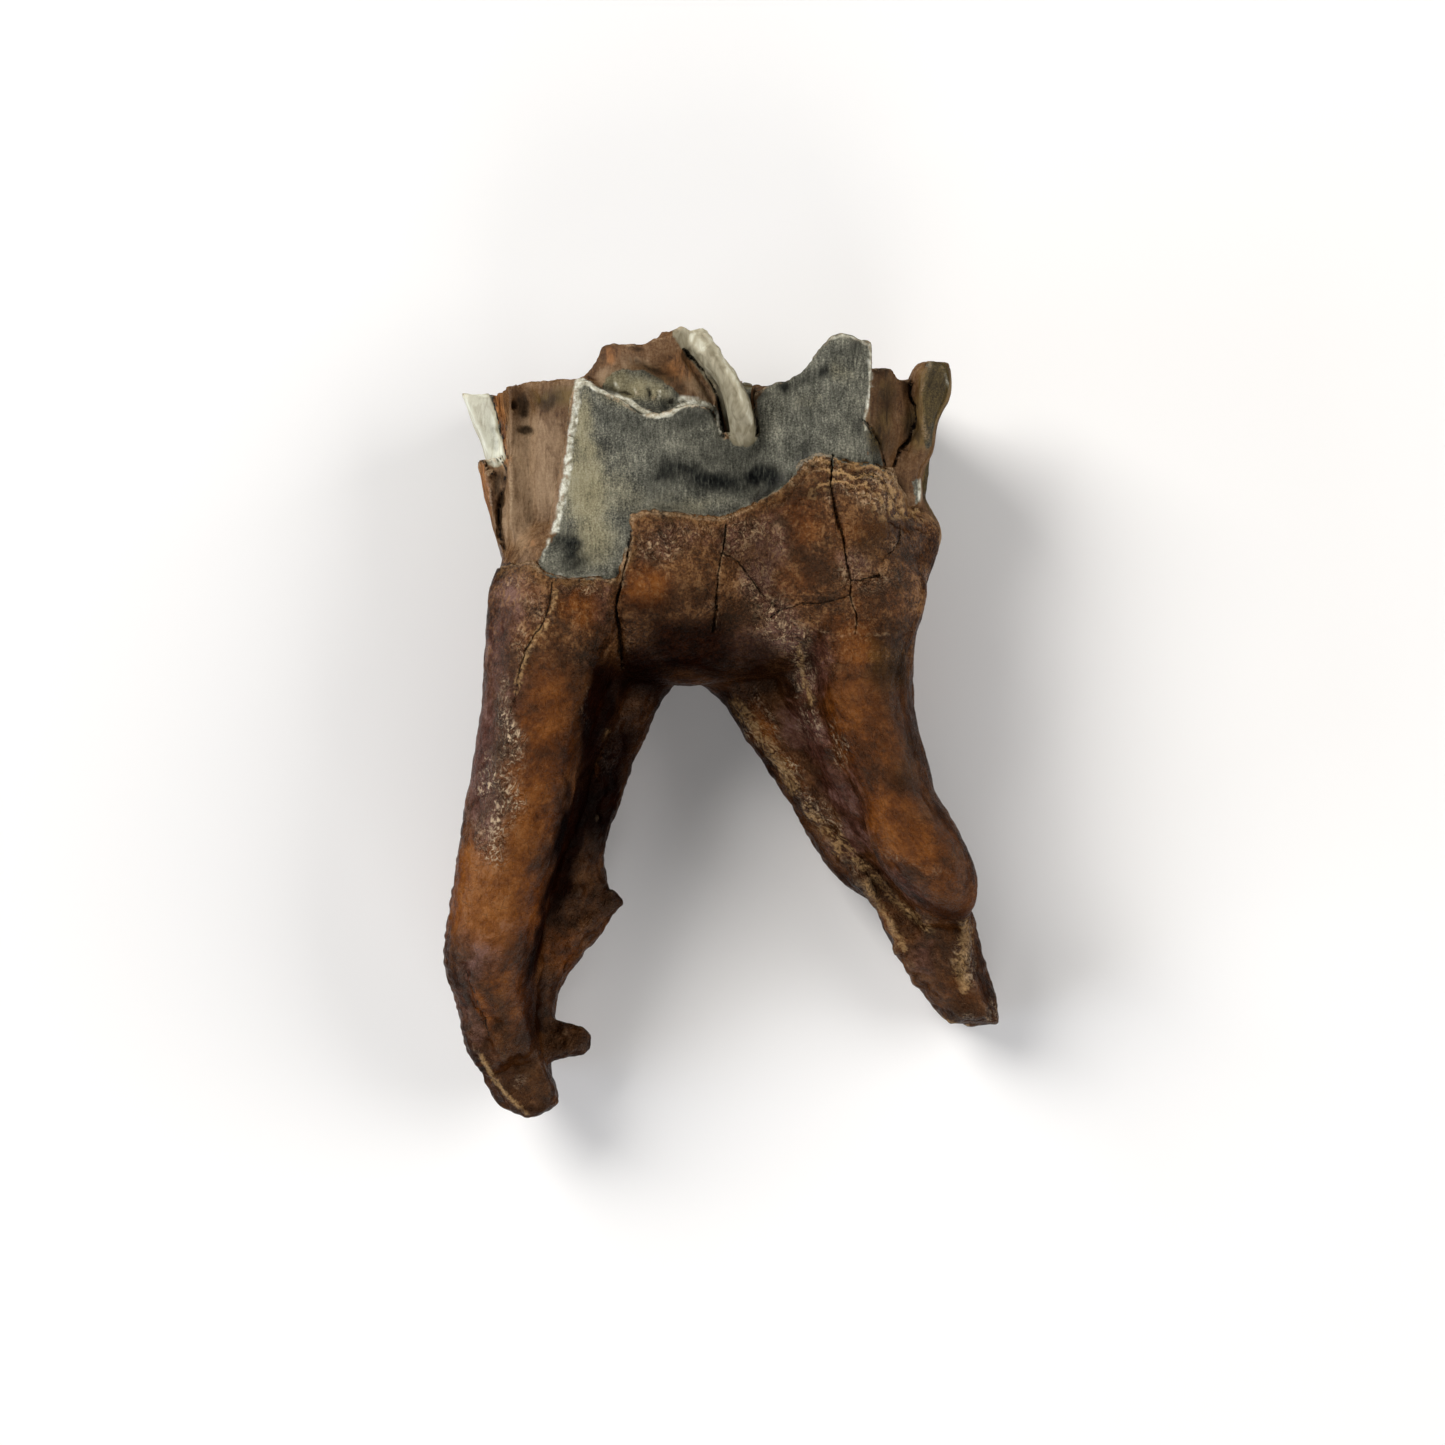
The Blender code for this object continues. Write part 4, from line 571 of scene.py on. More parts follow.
CREAM_STAINS = (
    (-15, 31.4, 1.3, 5, 3, 0.9), (-14.8, 25.4, 2.8, 5, 8, 1), (-14.4, 20, 3, 3.4, 8, 0.8),
    (-11, 25.2, 2.6, 3.4, 10, 0.4), (-4.6, 23.8, 4.6, 0.9, 0, 0.35), (-22.2, 22, 1.6, 5, 0, 0.75),
    (-20.4, 27.6, 3.4, 6.4, 0, 1), (-18.2, 29.6, 1, 1.2, 30, 0.6), (-12.8, 37.4, 1.6, 1, 0, 1.1),
    (-10, 39.2, 3, 0.8, 0, 0.5), (-3, 36.6, 1.2, 1.6, 20, 0.6), (-9, 36, 3.8, 1.6, -4, 0.85),
    (-11.2, 37, 1.6, 1.4, 0, 0.9), (-2.2, 35.6, 0.9, 1.2, 0, 0.8), (-17, 35.6, 1, 1, 0, 0.6),
    (12.8, 38.6, 1.6, 1.6, 0, 0.4), (9.4, 34.4, 1.6, 1, 0, 0.25), (22.6, 36.8, 0.9, 1.6, -15, 0.5),
)
OLIVE_STAINS = (
    (17.8, 6.2, 2.4, 3, 0, 0.9), (16.4, 20, 3.4, 2.8, 0, 0.5), (20, -4, 1.6, 4, -15, 0.4),
    (-22.6, -14, 1, 3, 0, 0.2), (-18.6, 35, 1.8, 1.6, 0, 0.9), (-6, 37.6, 3.4, 1, -22, 0.6),
    (16.4, 30.2, 0.8, 2, 0, 0.8), (17.6, 34, 1.6, 3.4, 0, 0.5), (21.8, 33.6, 1.5, 3.8, -12, 1.1),
    (23.8, 35.4, 2.2, 3.8, 0, 1.3), (22.4, 31, 1, 2, 0, 0.6), (6.4, -3, 0.8, 2, 33, 0.4),
)
# Every kind of stain with its chance ones, for the sides that the photograph doesn't show: name, stains seen,
# size of the chance ones, where they start and are full, and their strength on the crown and on the roots.
STAINS = (
    ("orange", ORANGE_STAINS, 9, 0.02, 0.5, 0, 1),
    ("dark_and_shade", DARK_STAINS_AND_SHADE, 7, 0.1, 0.7, 0.6, 0.6),
    ("purple", PURPLE_STAINS, 8, 0.1, 0.6, 0, 1),
    ("pale", PALE_STAINS_AND_GLINTS, 4, 0.25, 0.6, 0.4, 0.4),
    ("cream", CREAM_STAINS, 6, 0, 0.5, 1, 1),
    ("olive", OLIVE_STAINS, 8, 0.2, 0.6, 1, 1),
)

# White broken edges, partly their own colour and partly painted highlight where they face the light: line,
# half width and strength.
WHITE_EDGES_AND_HIGHLIGHTS = (
    (((-15.7, 36.8), (-15.9, 34.6), (-16.2, 32.6), (-16.5, 30.5), (-16.8, 28), (-17, 26), (-17.6, 23.2),
     (-18.2, 20.8)), 0.42, 1),
    (((-17.1, 28.6), (-17.5, 25), (-18.1, 22)), 0.4, 0.4),
    (((-18.6, 20.4), (-19.2, 18.6), (-19.8, 17.2)), 0.25, 0.6),
    (((-15.5, 37), (-14.4, 36.4), (-13.4, 35.8), (-12, 35.5), (-9.8, 34.3), (-8, 33.2), (-6, 33.2),
     (-4.4, 34.2), (-2.5, 34.4), (-1, 33.8), (-0.2, 31.4)), 0.3, 1.05),
    (((-11.8, 36.8), (-11.4, 36)), 0.3, 0.6), (((-9.6, 36), (-9.4, 35.2)), 0.3, 0.6),
    (((-7, 36), (-7, 35)), 0.26, 0.6), (((-18.2, 16), (-16.4, 15.7), (-14, 15.9), (-12, 16.1)), 0.35, 0.45),
    (((-4.6, 35), (-3.4, 34.9), (-2.2, 34.6)), 0.5, 0.6),
    (((15.95, 40.2), (15.75, 36), (15.5, 34), (15.2, 32.6), (15.6, 31)), 0.2, 0.75),
    (((11.4, 41.4), (13, 41.8), (14.4, 41.4), (15.8, 40.8)), 0.3, 0.6),
    (((21.4, 26), (21.5, 24)), 0.5, 0.9), (((24, 37.6), (24.5, 35.8), (24.2, 34.2)), 0.3, 0.45),
)

# Worn light ridges of the roots: line, half width and strength.
PALE_RIDGES = (
    (((-26.2, -36.2), (-24.6, -38.9), (-22.8, -41), (-21.2, -42.3)), 0.22, 0.9),
    (((12.4, -12.4), (14.6, -15), (16.8, -17.4), (19.4, -20), (22.4, -22.4)), 0.55, 0.45),
    (((15.4, -17.4), (16.8, -19.6), (18.6, -22.8), (19.6, -24.6)), 0.4, 0.7),
    (((26.3, -22), (26, -24.6), (25.6, -26.6), (26, -28.6)), 0.75, 0.72),
    (((23.7, -32.2), (25.6, -32.9), (28, -33.3), (30, -33)), 0.35, 0.6),
    (((28.8, -26), (29.6, -29.4), (30.4, -32.4)), 0.3, 0.6),
    (((1.4, 2), (3.6, -0.8), (6, -4.2), (7.6, -7.2)), 0.8, 0.58),
    (((9, -9.2), (11, -11.6), (12.4, -14)), 0.6, 0.5),
    (((-18.2, 14.2), (-18.7, 11.6), (-20.6, 8.8), (-21.6, 6.6), (-22.4, 3.2)), 0.45, 0.5),
    (((-12.4, -1), (-13.2, -3.4), (-13.8, -6)), 0.4, 0.4), (((8.2, 8), (8.6, 5), (9.6, 2)), 0.4, 0.6),
)

# Smooth broken faces of enamel, cream to white: line, half width and lightness.
SMOOTH_FACES = (
    (((-3.8, 42.4), (-2.9, 41), (-1.3, 39), (0, 37.2), (1, 35.2), (1.8, 33.2), (2.1, 31.4)), 1.9, 0.5),
    (((-4.6, 42.6), (-2.4, 42.4), (-0.6, 40), (1, 37.4), (2.3, 34.6), (3, 32.4)), 0.45, 0.85),
    (((-3.2, 41.6), (-2.4, 40.4)), 0.7, 0.95), (((-26.8, 34.9), (-26.3, 33.6), (-25.9, 32.4)), 1.75, 1.15),
    (((-25.9, 32.4), (-25.1, 30.2), (-24.7, 28.7)), 1.3, 1.15),
    (((-25.8, 35), (-25.2, 32.2), (-24.5, 29)), 0.6, 1.3),
)

# Colours as they look, red, green and blue from 0 to 255.
CEMENT_COLOURS = ((22, 9, 2), (50, 27, 11), (82, 50, 25), (130, 92, 56))
ROOT_COLOURS = ((26, 11, 3), (46, 23, 8), (70, 40, 17), (102, 66, 36))
ORANGE_COLOURS = ((54, 23, 2), (84, 41, 6), (112, 62, 17), (138, 86, 40))
PURPLE_COLOURS = ((44, 23, 16), (78, 48, 40), (122, 92, 86))
OLIVE_COLOURS = ((34, 18, 1), (74, 46, 8), (108, 78, 32))
# Multiplied over the dark stains and over the painted shade of the root fork, the grooves and the shaded
# sides.
DARK_AND_SHADE_TINT = (92, 68, 56)
PALE_COLOUR = (184, 158, 124)
FLECK_COLOUR = (146, 108, 70)
DENTINE_COLOURS = ((62, 38, 20), (104, 74, 46), (140, 110, 80))
DENTINE_CREAM = ((120, 93, 67), (172, 145, 114))
DENTINE_ORANGE = ((70, 36, 14), (160, 108, 62))
DENTINE_DARK = (34, 23, 13)
DENTINE_OLIVE = ((48, 34, 12), (120, 96, 58))
ENAMEL_COLOURS = ((40, 40, 34), (76, 76, 66), (112, 111, 98), (166, 164, 146))
ENAMEL_CREAM = ((92, 85, 60), (140, 132, 102), (190, 184, 154))
ENAMEL_OLIVE = ((34, 26, 10), (92, 77, 44))
ENAMEL_INK = ((3, 4, 5), (24, 26, 25), (66, 67, 60))
WHITE_COLOURS = ((128, 122, 102), (186, 182, 162), (228, 227, 212))
SMOOTH_COLOURS = ((74, 66, 48), (122, 114, 92), (172, 165, 142), (222, 222, 204))
# Colour of cracks and hairlines, also used for the painted shade in hollows.
CRACK_AND_SHADE_COLOUR = (10, 5, 3)
RIM_COLOUR = (140, 104, 62)
BARE_GLOSS = (255, 250, 242)
CEMENT_GLOSS = (255, 212, 172)
# Painted highlight: the colour the pale threads take on the roots, standing in for glints of light.
PAINTED_GLINT_COLOUR = (192, 170, 140)
LEDGE_COLOUR = (168, 134, 90)

# Which walls are enamel and which dentine, and which pillars are cement, for telling the tissues apart.
ENAMEL_WALLS = (
    CHEEK_ENAMEL_FRONT, CHEEK_ENAMEL_BACK, MESIAL_ENAMEL, DISTAL_ENAMEL, TRIGONID_LINING, TALONID_LINING,
    METACONID_ENAMEL, ENTOCONID_ENAMEL, PARACONID_ENAMEL,
)
DENTINE_WALLS = (
    PROTOCONID, PARACONID_ARM, METACONID_ARM, HYPOLOPHID_ARM, HYPOCONID, ENTOCONID_ARM, MESIAL_SCALES,
    MESIAL_RIDGE,
)
CEMENT_PILLARS = tuple(stations for stations in PILLARS if stations is not DISTAL_COLUMN)


def smooth_samples(points, step=LINE_STEP):
    """Points about step apart on a smooth curve through the given ones, with any number of values each."""
    rows = np.array(points, float)
    padded = np.vstack([2 * rows[0] - rows[1], rows, 2 * rows[-1] - rows[-2]])
    samples = []
    for a, b, c, d in zip(padded, padded[1:], padded[2:], padded[3:]):
        count = max(1, round(float(np.linalg.norm(c - b)) / step))
        for i in range(count):
            t = i / count
            ahead = (c - a) * t
            bend = (2 * a - 5 * b + 4 * c - d) * t**2
            sway = (3 * b - a - 3 * c + d) * t**3
            samples.append((2 * b + ahead + bend + sway) / 2)
    return np.array([*samples, rows[-1]])


def headings(samples):
    """Which way a run of points heads at each of them."""
    padded = np.vstack([samples[:1], samples, samples[-1:]])
    return padded[2:] - padded[:-2]


def circle(count):
    """Cosines and sines of directions evenly round."""
    angles = [math.tau * i / count for i in range(count)]
    return [(math.cos(angle), math.sin(angle)) for angle in angles]


def rounded(value, square):
    """Squares off a sine or cosine, so that level cuts come out as rounded rectangles."""
    return math.copysign(abs(value) ** (2 / square), value)


def on_cut(cut, side, rise, square):
    """Where a direction meets the outline of a level cut: x and z."""
    left, right, inner, cheek = cut
    x = (left + right) / 2 + (right - left) / 2 * rounded(side, square)
    z = (inner + cheek) / 2 + (cheek - inner) / 2 * rounded(rise, square)
    return x, z


def closed_loft(bm, rings):
    """Bridges rings of equal length and closes both ends."""
    verts = [[bm.verts.new(p) for p in ring] for ring in rings]
    for lower, upper in zip(verts, verts[1:]):
        for i, vert in enumerate(lower):
            j = (i + 1) % len(lower)
            bm.faces.new((vert, lower[j], upper[j], upper[i]))
    bm.faces.new(verts[0][::-1])
    bm.faces.new(verts[-1])


def add_pillar(bm, stations):
    """A pillar through level cuts."""
    square = COLUMN_SQUARE if stations is DISTAL_COLUMN else PILLAR_SQUARE
    rings = []
    for y, *cut in smooth_samples(stations, RING_STEP):
        outline = [on_cut(cut, side, rise, square) for side, rise in circle(RING_POINTS)]
        rings.append([(x, y, z) for x, z in outline])
    closed_loft(bm, rings)


def add_trunk(bm):
    """The trunk, with the furrow between the lobes down both sides."""
    rings = []
    for y, *cut, cheek_furrow, inner_furrow in smooth_samples(TRUNK, RING_STEP):
        ring = []
        for side, rise in circle(TRUNK_POINTS):
            x, z = on_cut(cut, side, rise, TRUNK_SQUARE)
            furrow = math.exp(-(((x - FURROW_X) / FURROW_WIDTH) ** 2))
            z -= furrow * (cheek_furrow * max(rise, 0) - inner_furrow * max(-rise, 0))
            ring.append((x, y, z))
        rings.append(ring)
    closed_loft(bm, rings)


def add_limb(bm, points):
    """A round limb through centres with radii."""
    samples = smooth_samples(points, RING_STEP)
    rings = []
    for (x, y, z, radius), ahead in zip(samples, headings(samples)):
        centre = Vector((x, y, z))
        turn = Vector(ahead[:3]).to_track_quat("Z", "Y")
        spokes = [Vector((side, rise, 0)) for side, rise in circle(RING_POINTS)]
        rings.append([centre + turn @ spoke * radius for spoke in spokes])
    closed_loft(bm, rings)


def add_fold(bm):
    """The bar of broken enamel that runs down from the top of the crown into the fold."""
    samples = smooth_samples(FOLD_ENAMEL, RING_STEP)
    rings = []
    for (x, y, z, half_width, half_depth), ahead in zip(samples, headings(samples)):
        across = np.array([-ahead[1], ahead[0]])
        across /= np.linalg.norm(across)
        ring = []
        for side, rise in circle(RING_POINTS):
            shift = across * half_width * rounded(side, TRUNK_SQUARE)
            ring.append((x + shift[0], y + shift[1], z + half_depth * rounded(rise, TRUNK_SQUARE)))
        rings.append(ring)
    closed_loft(bm, rings)


def evenly_along(line, count):
    """So many points evenly along a smooth line."""
    samples = smooth_samples(line, WALL_LINE_STEP)
    run = np.concatenate([[0], np.cumsum(np.linalg.norm(np.diff(samples, axis=0), axis=1))])
    even = np.linspace(0, run[-1], count)
    return np.stack([np.interp(even, run, column) for column in samples.T], axis=1)


def add_wall(bm, low, high, levels, tops, thick, along_x=False):
    """An upright wall whose outer face leans from the low line to the high one, with a broken top edge."""
    longest = max(np.linalg.norm(np.diff(low, axis=0), axis=1).sum(), 1)
    count = max(LEAST_WALL_STEPS, round(float(longest) / WALL_STEP))
    foot, head = (evenly_along(line, count + 1) for line in (low, high))
    keys = head[:, 0] if along_x else np.linspace(0, 1, count + 1)
    rings = []
    for i, top in enumerate(np.interp(keys, *np.array(tops, float).T)):
        outer, inner = [], []
        for row in range(WALL_ROWS + 1):
            y = levels[0] + (top - levels[0]) * row / WALL_ROWS
            lean = (y - levels[0]) / (levels[1] - levels[0])
            line = foot + (head - foot) * lean
            along = headings(line)[i]
            along /= np.linalg.norm(along)
            x, z = line[i]
            outer.append((x, y, z))
            inner.append((x + along[1] * thick, y, z - along[0] * thick))
        rings.append(outer + inner[::-1])
    closed_loft(bm, rings)


def grown(pillars=(), walls=(), limbs=(), trunk=False, fold=False):
    """The named forms, as one bmesh of closed pieces."""
    bm = bmesh.new()
    for stations in pillars:
        add_pillar(bm, stations)
    if trunk:
        add_trunk(bm)
    for points in limbs:
        add_limb(bm, points)
    for wall in walls:
        add_wall(bm, **wall)
    if fold:
        add_fold(bm)
    bmesh.ops.recalc_face_normals(bm, faces=bm.faces)
    return bm


def modified(mesh, kind, **settings):
    """New mesh data: the mesh with one modifier applied."""
    thing = bpy.data.objects.new("form", mesh)
    bpy.context.scene.collection.objects.link(thing)
    modifier = thing.modifiers.new("form", kind)
    for name, value in settings.items():
        setattr(modifier, name, value)
    bpy.context.view_layer.update()
    result = bpy.data.meshes.new_from_object(thing.evaluated_get(bpy.context.evaluated_depsgraph_get()))
    bpy.data.objects.remove(thing)
    return result


def fused_form():
    """All forms grown into one closed skin."""
    mesh = bpy.data.meshes.new("form")
    bm = grown(PILLARS, WALLS, LIMBS, trunk=True, fold=True)
    bm.to_mesh(mesh)
    bm.free()
    return modified(mesh, "REMESH", mode="VOXEL", voxel_size=FINE_VOXEL)


def thinned(mesh, most):
    """The same skin with no more than so many triangles."""
    mesh.calc_loop_triangles()
    ratio = most / len(mesh.loop_triangles)
    return modified(mesh, "DECIMATE", ratio=ratio, use_collapse_triangulate=True)


def drop_pockets(mesh):
    """Leaves out the small pockets that the walls enclose where they meet."""
    bm = bmesh.new()
    bm.from_mesh(mesh)
    unseen = set(bm.verts)
    islands = []
    while unseen:
        island = [unseen.pop()]
        for vert in island:
            for edge in vert.link_edges:
                other = edge.other_vert(vert)
                if other in unseen:
                    unseen.remove(other)
                    island.append(other)
        islands.append(island)
    islands.sort(key=len)
    bmesh.ops.delete(bm, geom=[vert for island in islands[:-1] for vert in island], context="VERTS")
    bm.to_mesh(mesh)
    bm.free()


def refine_cracks(mesh):
    """Makes the faces along the cracks finer."""
    points = points_of(mesh)
    near = np.full(len(points), FAR)
    for gap, half_width, _ in crack_gaps(seen(points)):
        near = np.minimum(near, gap - half_width)
    chosen = (cheek_side(points, normals_of(mesh)) > REFINED_FACING) & (near < FINE_MARGIN)
    bm = bmesh.new()
    bm.from_mesh(mesh)
    edges = [edge for edge in bm.edges if chosen[edge.verts[0].index] and chosen[edge.verts[1].index]]
    bmesh.ops.subdivide_edges(bm, edges=edges, cuts=1, use_grid_fill=True)
    bmesh.ops.triangulate(bm, faces=[face for face in bm.faces if len(face.verts) > 4])
    bm.to_mesh(mesh)
    bm.free()


def points_of(mesh, name="co"):
    flat = np.empty(len(mesh.vertices) * 3)
    mesh.vertices.foreach_get(name, flat)
    return flat.reshape(-1, 3)


def normals_of(mesh):
    return points_of(mesh, "normal")


def place_points(mesh, points):
    mesh.vertices.foreach_set("co", points.ravel())
    mesh.update()


def between(value, low, high):
    """0 below low, 1 above high, with an even slope where they meet."""
    t = np.clip((value - low) / (high - low), 0, 1)
    return t * t * (3 - 2 * t)


def neighbour_means(mesh, values, rounds, weight):
    """Values of the points, each drawn towards the mean of its neighbours a number of times."""
    pairs = np.empty(len(mesh.edges) * 2, dtype=int)
    mesh.edges.foreach_get("vertices", pairs)
    a, b = pairs.reshape(-1, 2).T
    count = len(values)
    neighbours = np.bincount(np.concatenate([a, b]), minlength=count)
    values = values.copy()
    for _ in range(rounds):
        for k in range(values.shape[1]):
            column = values[:, k]
            middle = np.bincount(a, column[b], count) + np.bincount(b, column[a], count)
            values[:, k] = column + (middle / neighbours - column) * weight
    return values


def soften(mesh, rounds, weight):
    place_points(mesh, neighbour_means(mesh, points_of(mesh), rounds, weight))


def unevenness(points, size):
    """Smooth noise from -1 to 1, with bumps of about that size."""
    return np.array([noise.noise(point) for point in (points / size).tolist()])


def lumps(points, *sizes):
    """Unevenness of several sizes, each with its height."""
    return sum(height * unevenness(points, size) for size, height in sizes)


def seen(points):
    """Where the photograph's camera sees points, on its plane."""
    return points[:, :2] * (CAMERA_HEIGHT / (CAMERA_HEIGHT - (points[:, 2:] - CAMERA_PLANE)))


def shaken(points, *sizes):
    """Where points are seen, each shifted a little sideways, so that drawn lines come out ragged."""
    places = seen(points)
    for size, amount in sizes:
        sideways = [noise.noise_vector(point)[:2] for point in (points / size).tolist()]
        places = places + amount * np.array(sideways)
    return places


def distance_to_line(places, line, reach=FAR):
    """How far flat places are from a line. Those further than reach may be given as FAR."""
    line = np.array(line, float)
    nearest = np.full(len(places), FAR)
    low, high = line.min(axis=0) - reach, line.max(axis=0) + reach
    close = np.flatnonzero(((places > low) & (places < high)).all(axis=1))
    near = places[close]
    gap = np.full(len(near), FAR)
    for start, end in zip(line, line[1:]):
        along = end - start
        offset = near - start
        t = np.clip(offset @ along / (along @ along), 0, 1)
        gap = np.minimum(gap, np.hypot(*(offset - t[:, None] * along).T))
    nearest[close] = gap
    return nearest


def depth_inside(places, outline):
    """How far flat places are inside a closed outline, negative outside."""
    x, y = places.T
    inside = np.zeros(len(places), dtype=bool)
    for (x0, y0), (x1, y1) in zip(outline, [*outline[1:], outline[0]]):
        if y0 == y1:
            continue
        level = (y > min(y0, y1)) & (y <= max(y0, y1))
        inside ^= level & (x < x0 + (y - y0) * (x1 - x0) / (y1 - y0))
    edge = distance_to_line(places, [*outline, outline[0]])
    return np.where(inside, edge, -edge)


def line_strength(places, line, half_width):
    """1 on a line, fading to 0 beside it."""
    gap = distance_to_line(places, smooth_samples(line), LINE_FADE * half_width)
    return np.exp(-((gap / half_width) ** 2))


def spot_strength(places, x, y, half_width, half_height, turn):
    """1 in the middle of an oval spot, fading to 0 round it."""
    cosine, sine = math.cos(math.radians(turn)), math.sin(math.radians(turn))
    across = (places[:, 0] - x) * cosine + (places[:, 1] - y) * sine
    up = (places[:, 1] - y) * cosine - (places[:, 0] - x) * sine
    return np.exp(-(((across / half_width) ** 2 + (up / half_height) ** 2) ** 1.5))


def strongest(count, strengths):
    """The greatest of several strengths at each of so many points, and 0 where all are less."""
    value = np.zeros(count)
    for strength in strengths:
        value = np.maximum(value, strength)
    return value


def crack_gaps(places):
    """How far places are from each crack, with its half width and depth."""
    for line, half_width, depth in CRACKS:
        yield distance_to_line(places, smooth_samples(line), CRACK_REACH), half_width, depth


def cement_depth(points, ragged):
    """How far points of the cheek side are inside the cement's outline."""
    return depth_inside(points[:, :2], CEMENT_OUTLINE) + ragged


def cheek_side(points, normals, steepest=0):
    """1 on the cheek side, 0 on the others and down inside the crown."""
    x, y, z = points.T
    facing = between(normals[:, 2], steepest, steepest + FACING_SLOPE)
    inside_crown = between(y, 5, 9) * (1 - between(z, 16.5, 18.5))
    return facing * (1 - inside_crown * between(x, -23.6, -22.6))


def press_forms(mesh):
    """Shapes the cheek side as the solid has it: the cement's lap, then its grooves and ridges."""
    points = points_of(mesh)
    x, y, _ = points.T
    facing = cheek_side(points, normals_of(mesh))
    ragged = lumps(points, *EDGE_LUMPS)
    depth = cement_depth(points, ragged)
    edge = between(depth, -0.22, 0.22)
    layers = 0.30 * between(depth - 1.3 - 2.2 * ragged, -0.16, 0.16)
    layers += 0.25 * between(depth - 2.8 - 3 * ragged, -0.2, 0.2)
    layers -= 0.30 * edge
    lap = CEMENT_LAP * edge + layers * between(x, 2, 7) * between(y, 17, 21)
    rise = lap * between(y, 5, 13)
    for line, half_width, height in CHEEK_RELIEF:
        rise += height * line_strength(points[:, :2], line, half_width)
    place_points(mesh, points + normals_of(mesh) * (rise * facing)[:, None])


def press_details(mesh):
    """Cracks, ridges, pits and knobs of the cheek side, at places seen in the photograph."""
    points = points_of(mesh)
    normals = normals_of(mesh)
    places = shaken(points, LINE_SHAKE, FINE_SHAKE)
    rise = np.zeros(len(points))
    for line, half_width, height in RIDGES:
        rise += height * line_strength(places, line, half_width)
    for *spot, height in SPOTS:
        rise += height * spot_strength(places, *spot)
    cuts = crack_gaps(places)
    sunk = strongest(len(points), (depth * (1 - between(gap, 0, CRACK_SPREAD * w)) for gap, w, depth in cuts))
    place_points(mesh, points + normals * ((rise - sunk) * cheek_side(points, normals))[:, None])


def cut_facets(mesh):
    """Flattens the broken ends of the roots."""
    points = points_of(mesh)
    for middle, direction, reach in FACETS:
        outward = np.array(direction) / np.linalg.norm(direction)
        offset = points - middle
        beyond = np.maximum(offset @ outward, 0)
        near = 1 - between(np.linalg.norm(offset, axis=1), 0.5 * reach, reach)
        points = points - (beyond * near)[:, None] * outward
    place_points(mesh, points)


def roughen(mesh):
    """The unevenness of grown, broken and weathered surfaces, from large lumps down to small grains."""
    points = points_of(mesh)
    x, y, z = points.T
    normals = normals_of(mesh)
    rise = lumps(points, *LUMPS)
    enamel_face = between(y, 17, 20) * cheek_side(points, normals, STEEPEST_SEEN)
    rise += lumps(points, *GRAIN_LUMPS) * (1 - 0.7 * enamel_face)
    fibres = unevenness(points * FIBRE_STRETCH, 0.8)
    rise += 0.07 * fibres * (1 - between(y, 14, 18))
    inner_root = (1 - between(z, 14, 18.5)) * (1 - between(y, 0, 6))
    rise += inner_root * lumps(points + 20, *INNER_ROOT_LUMPS)
    wrinkles = unevenness(points * WRINKLE_STRETCH, 0.9)
    rise += 0.15 * wrinkles * (1 - between(y, -12, -6)) * (1 - between(x, -27, -21))
    broken = between(normals[:, 1], 0.25, 0.6) * between(y, 24, 27)
    rise += broken * lumps(points + 40, *BROKEN_LUMPS)
    basin_floor = broken * (1 - between(y, 30, 32))
    rise += basin_floor * lumps(points + 90, *FLOOR_LUMPS)
    place_points(mesh, points + normals * rise[:, None])


def rest_on_ground(mesh, sink=0):
    """Lowers the tooth a little and flattens what reaches below the ground, worn by lying there."""
    points = points_of(mesh)
    height = points[:, 2] - sink
    points[:, 2] = np.where(height < FLAT, 0, height)
    place_points(mesh, points)


def hollows(mesh, rounds):
    """How far each point lies below the surface round it, negative where it stands up."""
    points = points_of(mesh)
    around = neighbour_means(mesh, points, rounds, HALF_WAY)
    return ((around - points) * normals_of(mesh)).sum(axis=1)


def carried_over(source_points, values, points):
    """Values of the nearest source points."""
    tree = kdtree.KDTree(len(source_points))
    for i, point in enumerate(source_points.tolist()):
        tree.insert(point, i)
    tree.balance()
    return values[[tree.find(point)[1] for point in points.tolist()]]


def distances(points, bm):
    """How far points are from the surface of closed pieces."""
    tree = BVHTree.FromBMesh(bm)
    bm.free()
    return np.array([tree.find_nearest(point)[3] for point in points.tolist()])


def set_number(mesh, name, values):
    layer = mesh.attributes.new(name, "FLOAT", "POINT")
    layer.data.foreach_set("value", np.asarray(values, dtype=np.float32))


def mark_tissues(mesh, points, facing):
    """How far each point is inside the enamel and inside the cement, in millimetres, negative outside."""
    y = points[:, 1]
    enamel = distances(points, grown(walls=ENAMEL_WALLS, fold=True))
    dentine = distances(points, grown([DISTAL_COLUMN], DENTINE_WALLS))
    cement = distances(points, grown(CEMENT_PILLARS, limbs=LIMBS, trunk=True))
    behind = np.minimum(dentine, cement + CEMENT_SKIN) - enamel
    places = shaken(points, LINE_SHAKE)
    front = np.max([depth_inside(places, outline) for outline in ENAMEL_AREAS], axis=0)
    set_number(mesh, "enamel", front * facing + behind * (1 - facing))
    behind = CEMENT_TOP_BEHIND + lumps(points, *CEMENT_TOP_LUMPS) - y
    front = cement_depth(points, lumps(points, *EDGE_LUMPS))
    front = np.where(y < ALL_CEMENT_BELOW, DEEP, front)
    set_number(mesh, "cement", front * facing + behind * (1 - facing))


def mark_stains(mesh, points, facing):
    """Strengths of the stains: those seen in the photograph, and chance ones where it shows nothing."""
    x, y, _ = points.T
    places = shaken(points, *STAIN_SHAKES)
    low = 1 - between(y, 10, 20)
    for i, (name, stains, size, start, full, crown, roots) in enumerate(STAINS):
        chance = between(unevenness(points + 30 * i, size), start, full) * (crown + (roots - crown) * low)
        drawn = strongest(len(points), (stain[-1] * spot_strength(places, *stain[:-1]) for stain in stains))
        set_number(mesh, name, drawn * facing + chance * (1 - facing))
    set_number(mesh, "root", 1 - between(y, 0, 12))
    set_number(mesh, "frill", between(x, 8, 12) * between(y, 20.5, 23) * facing)


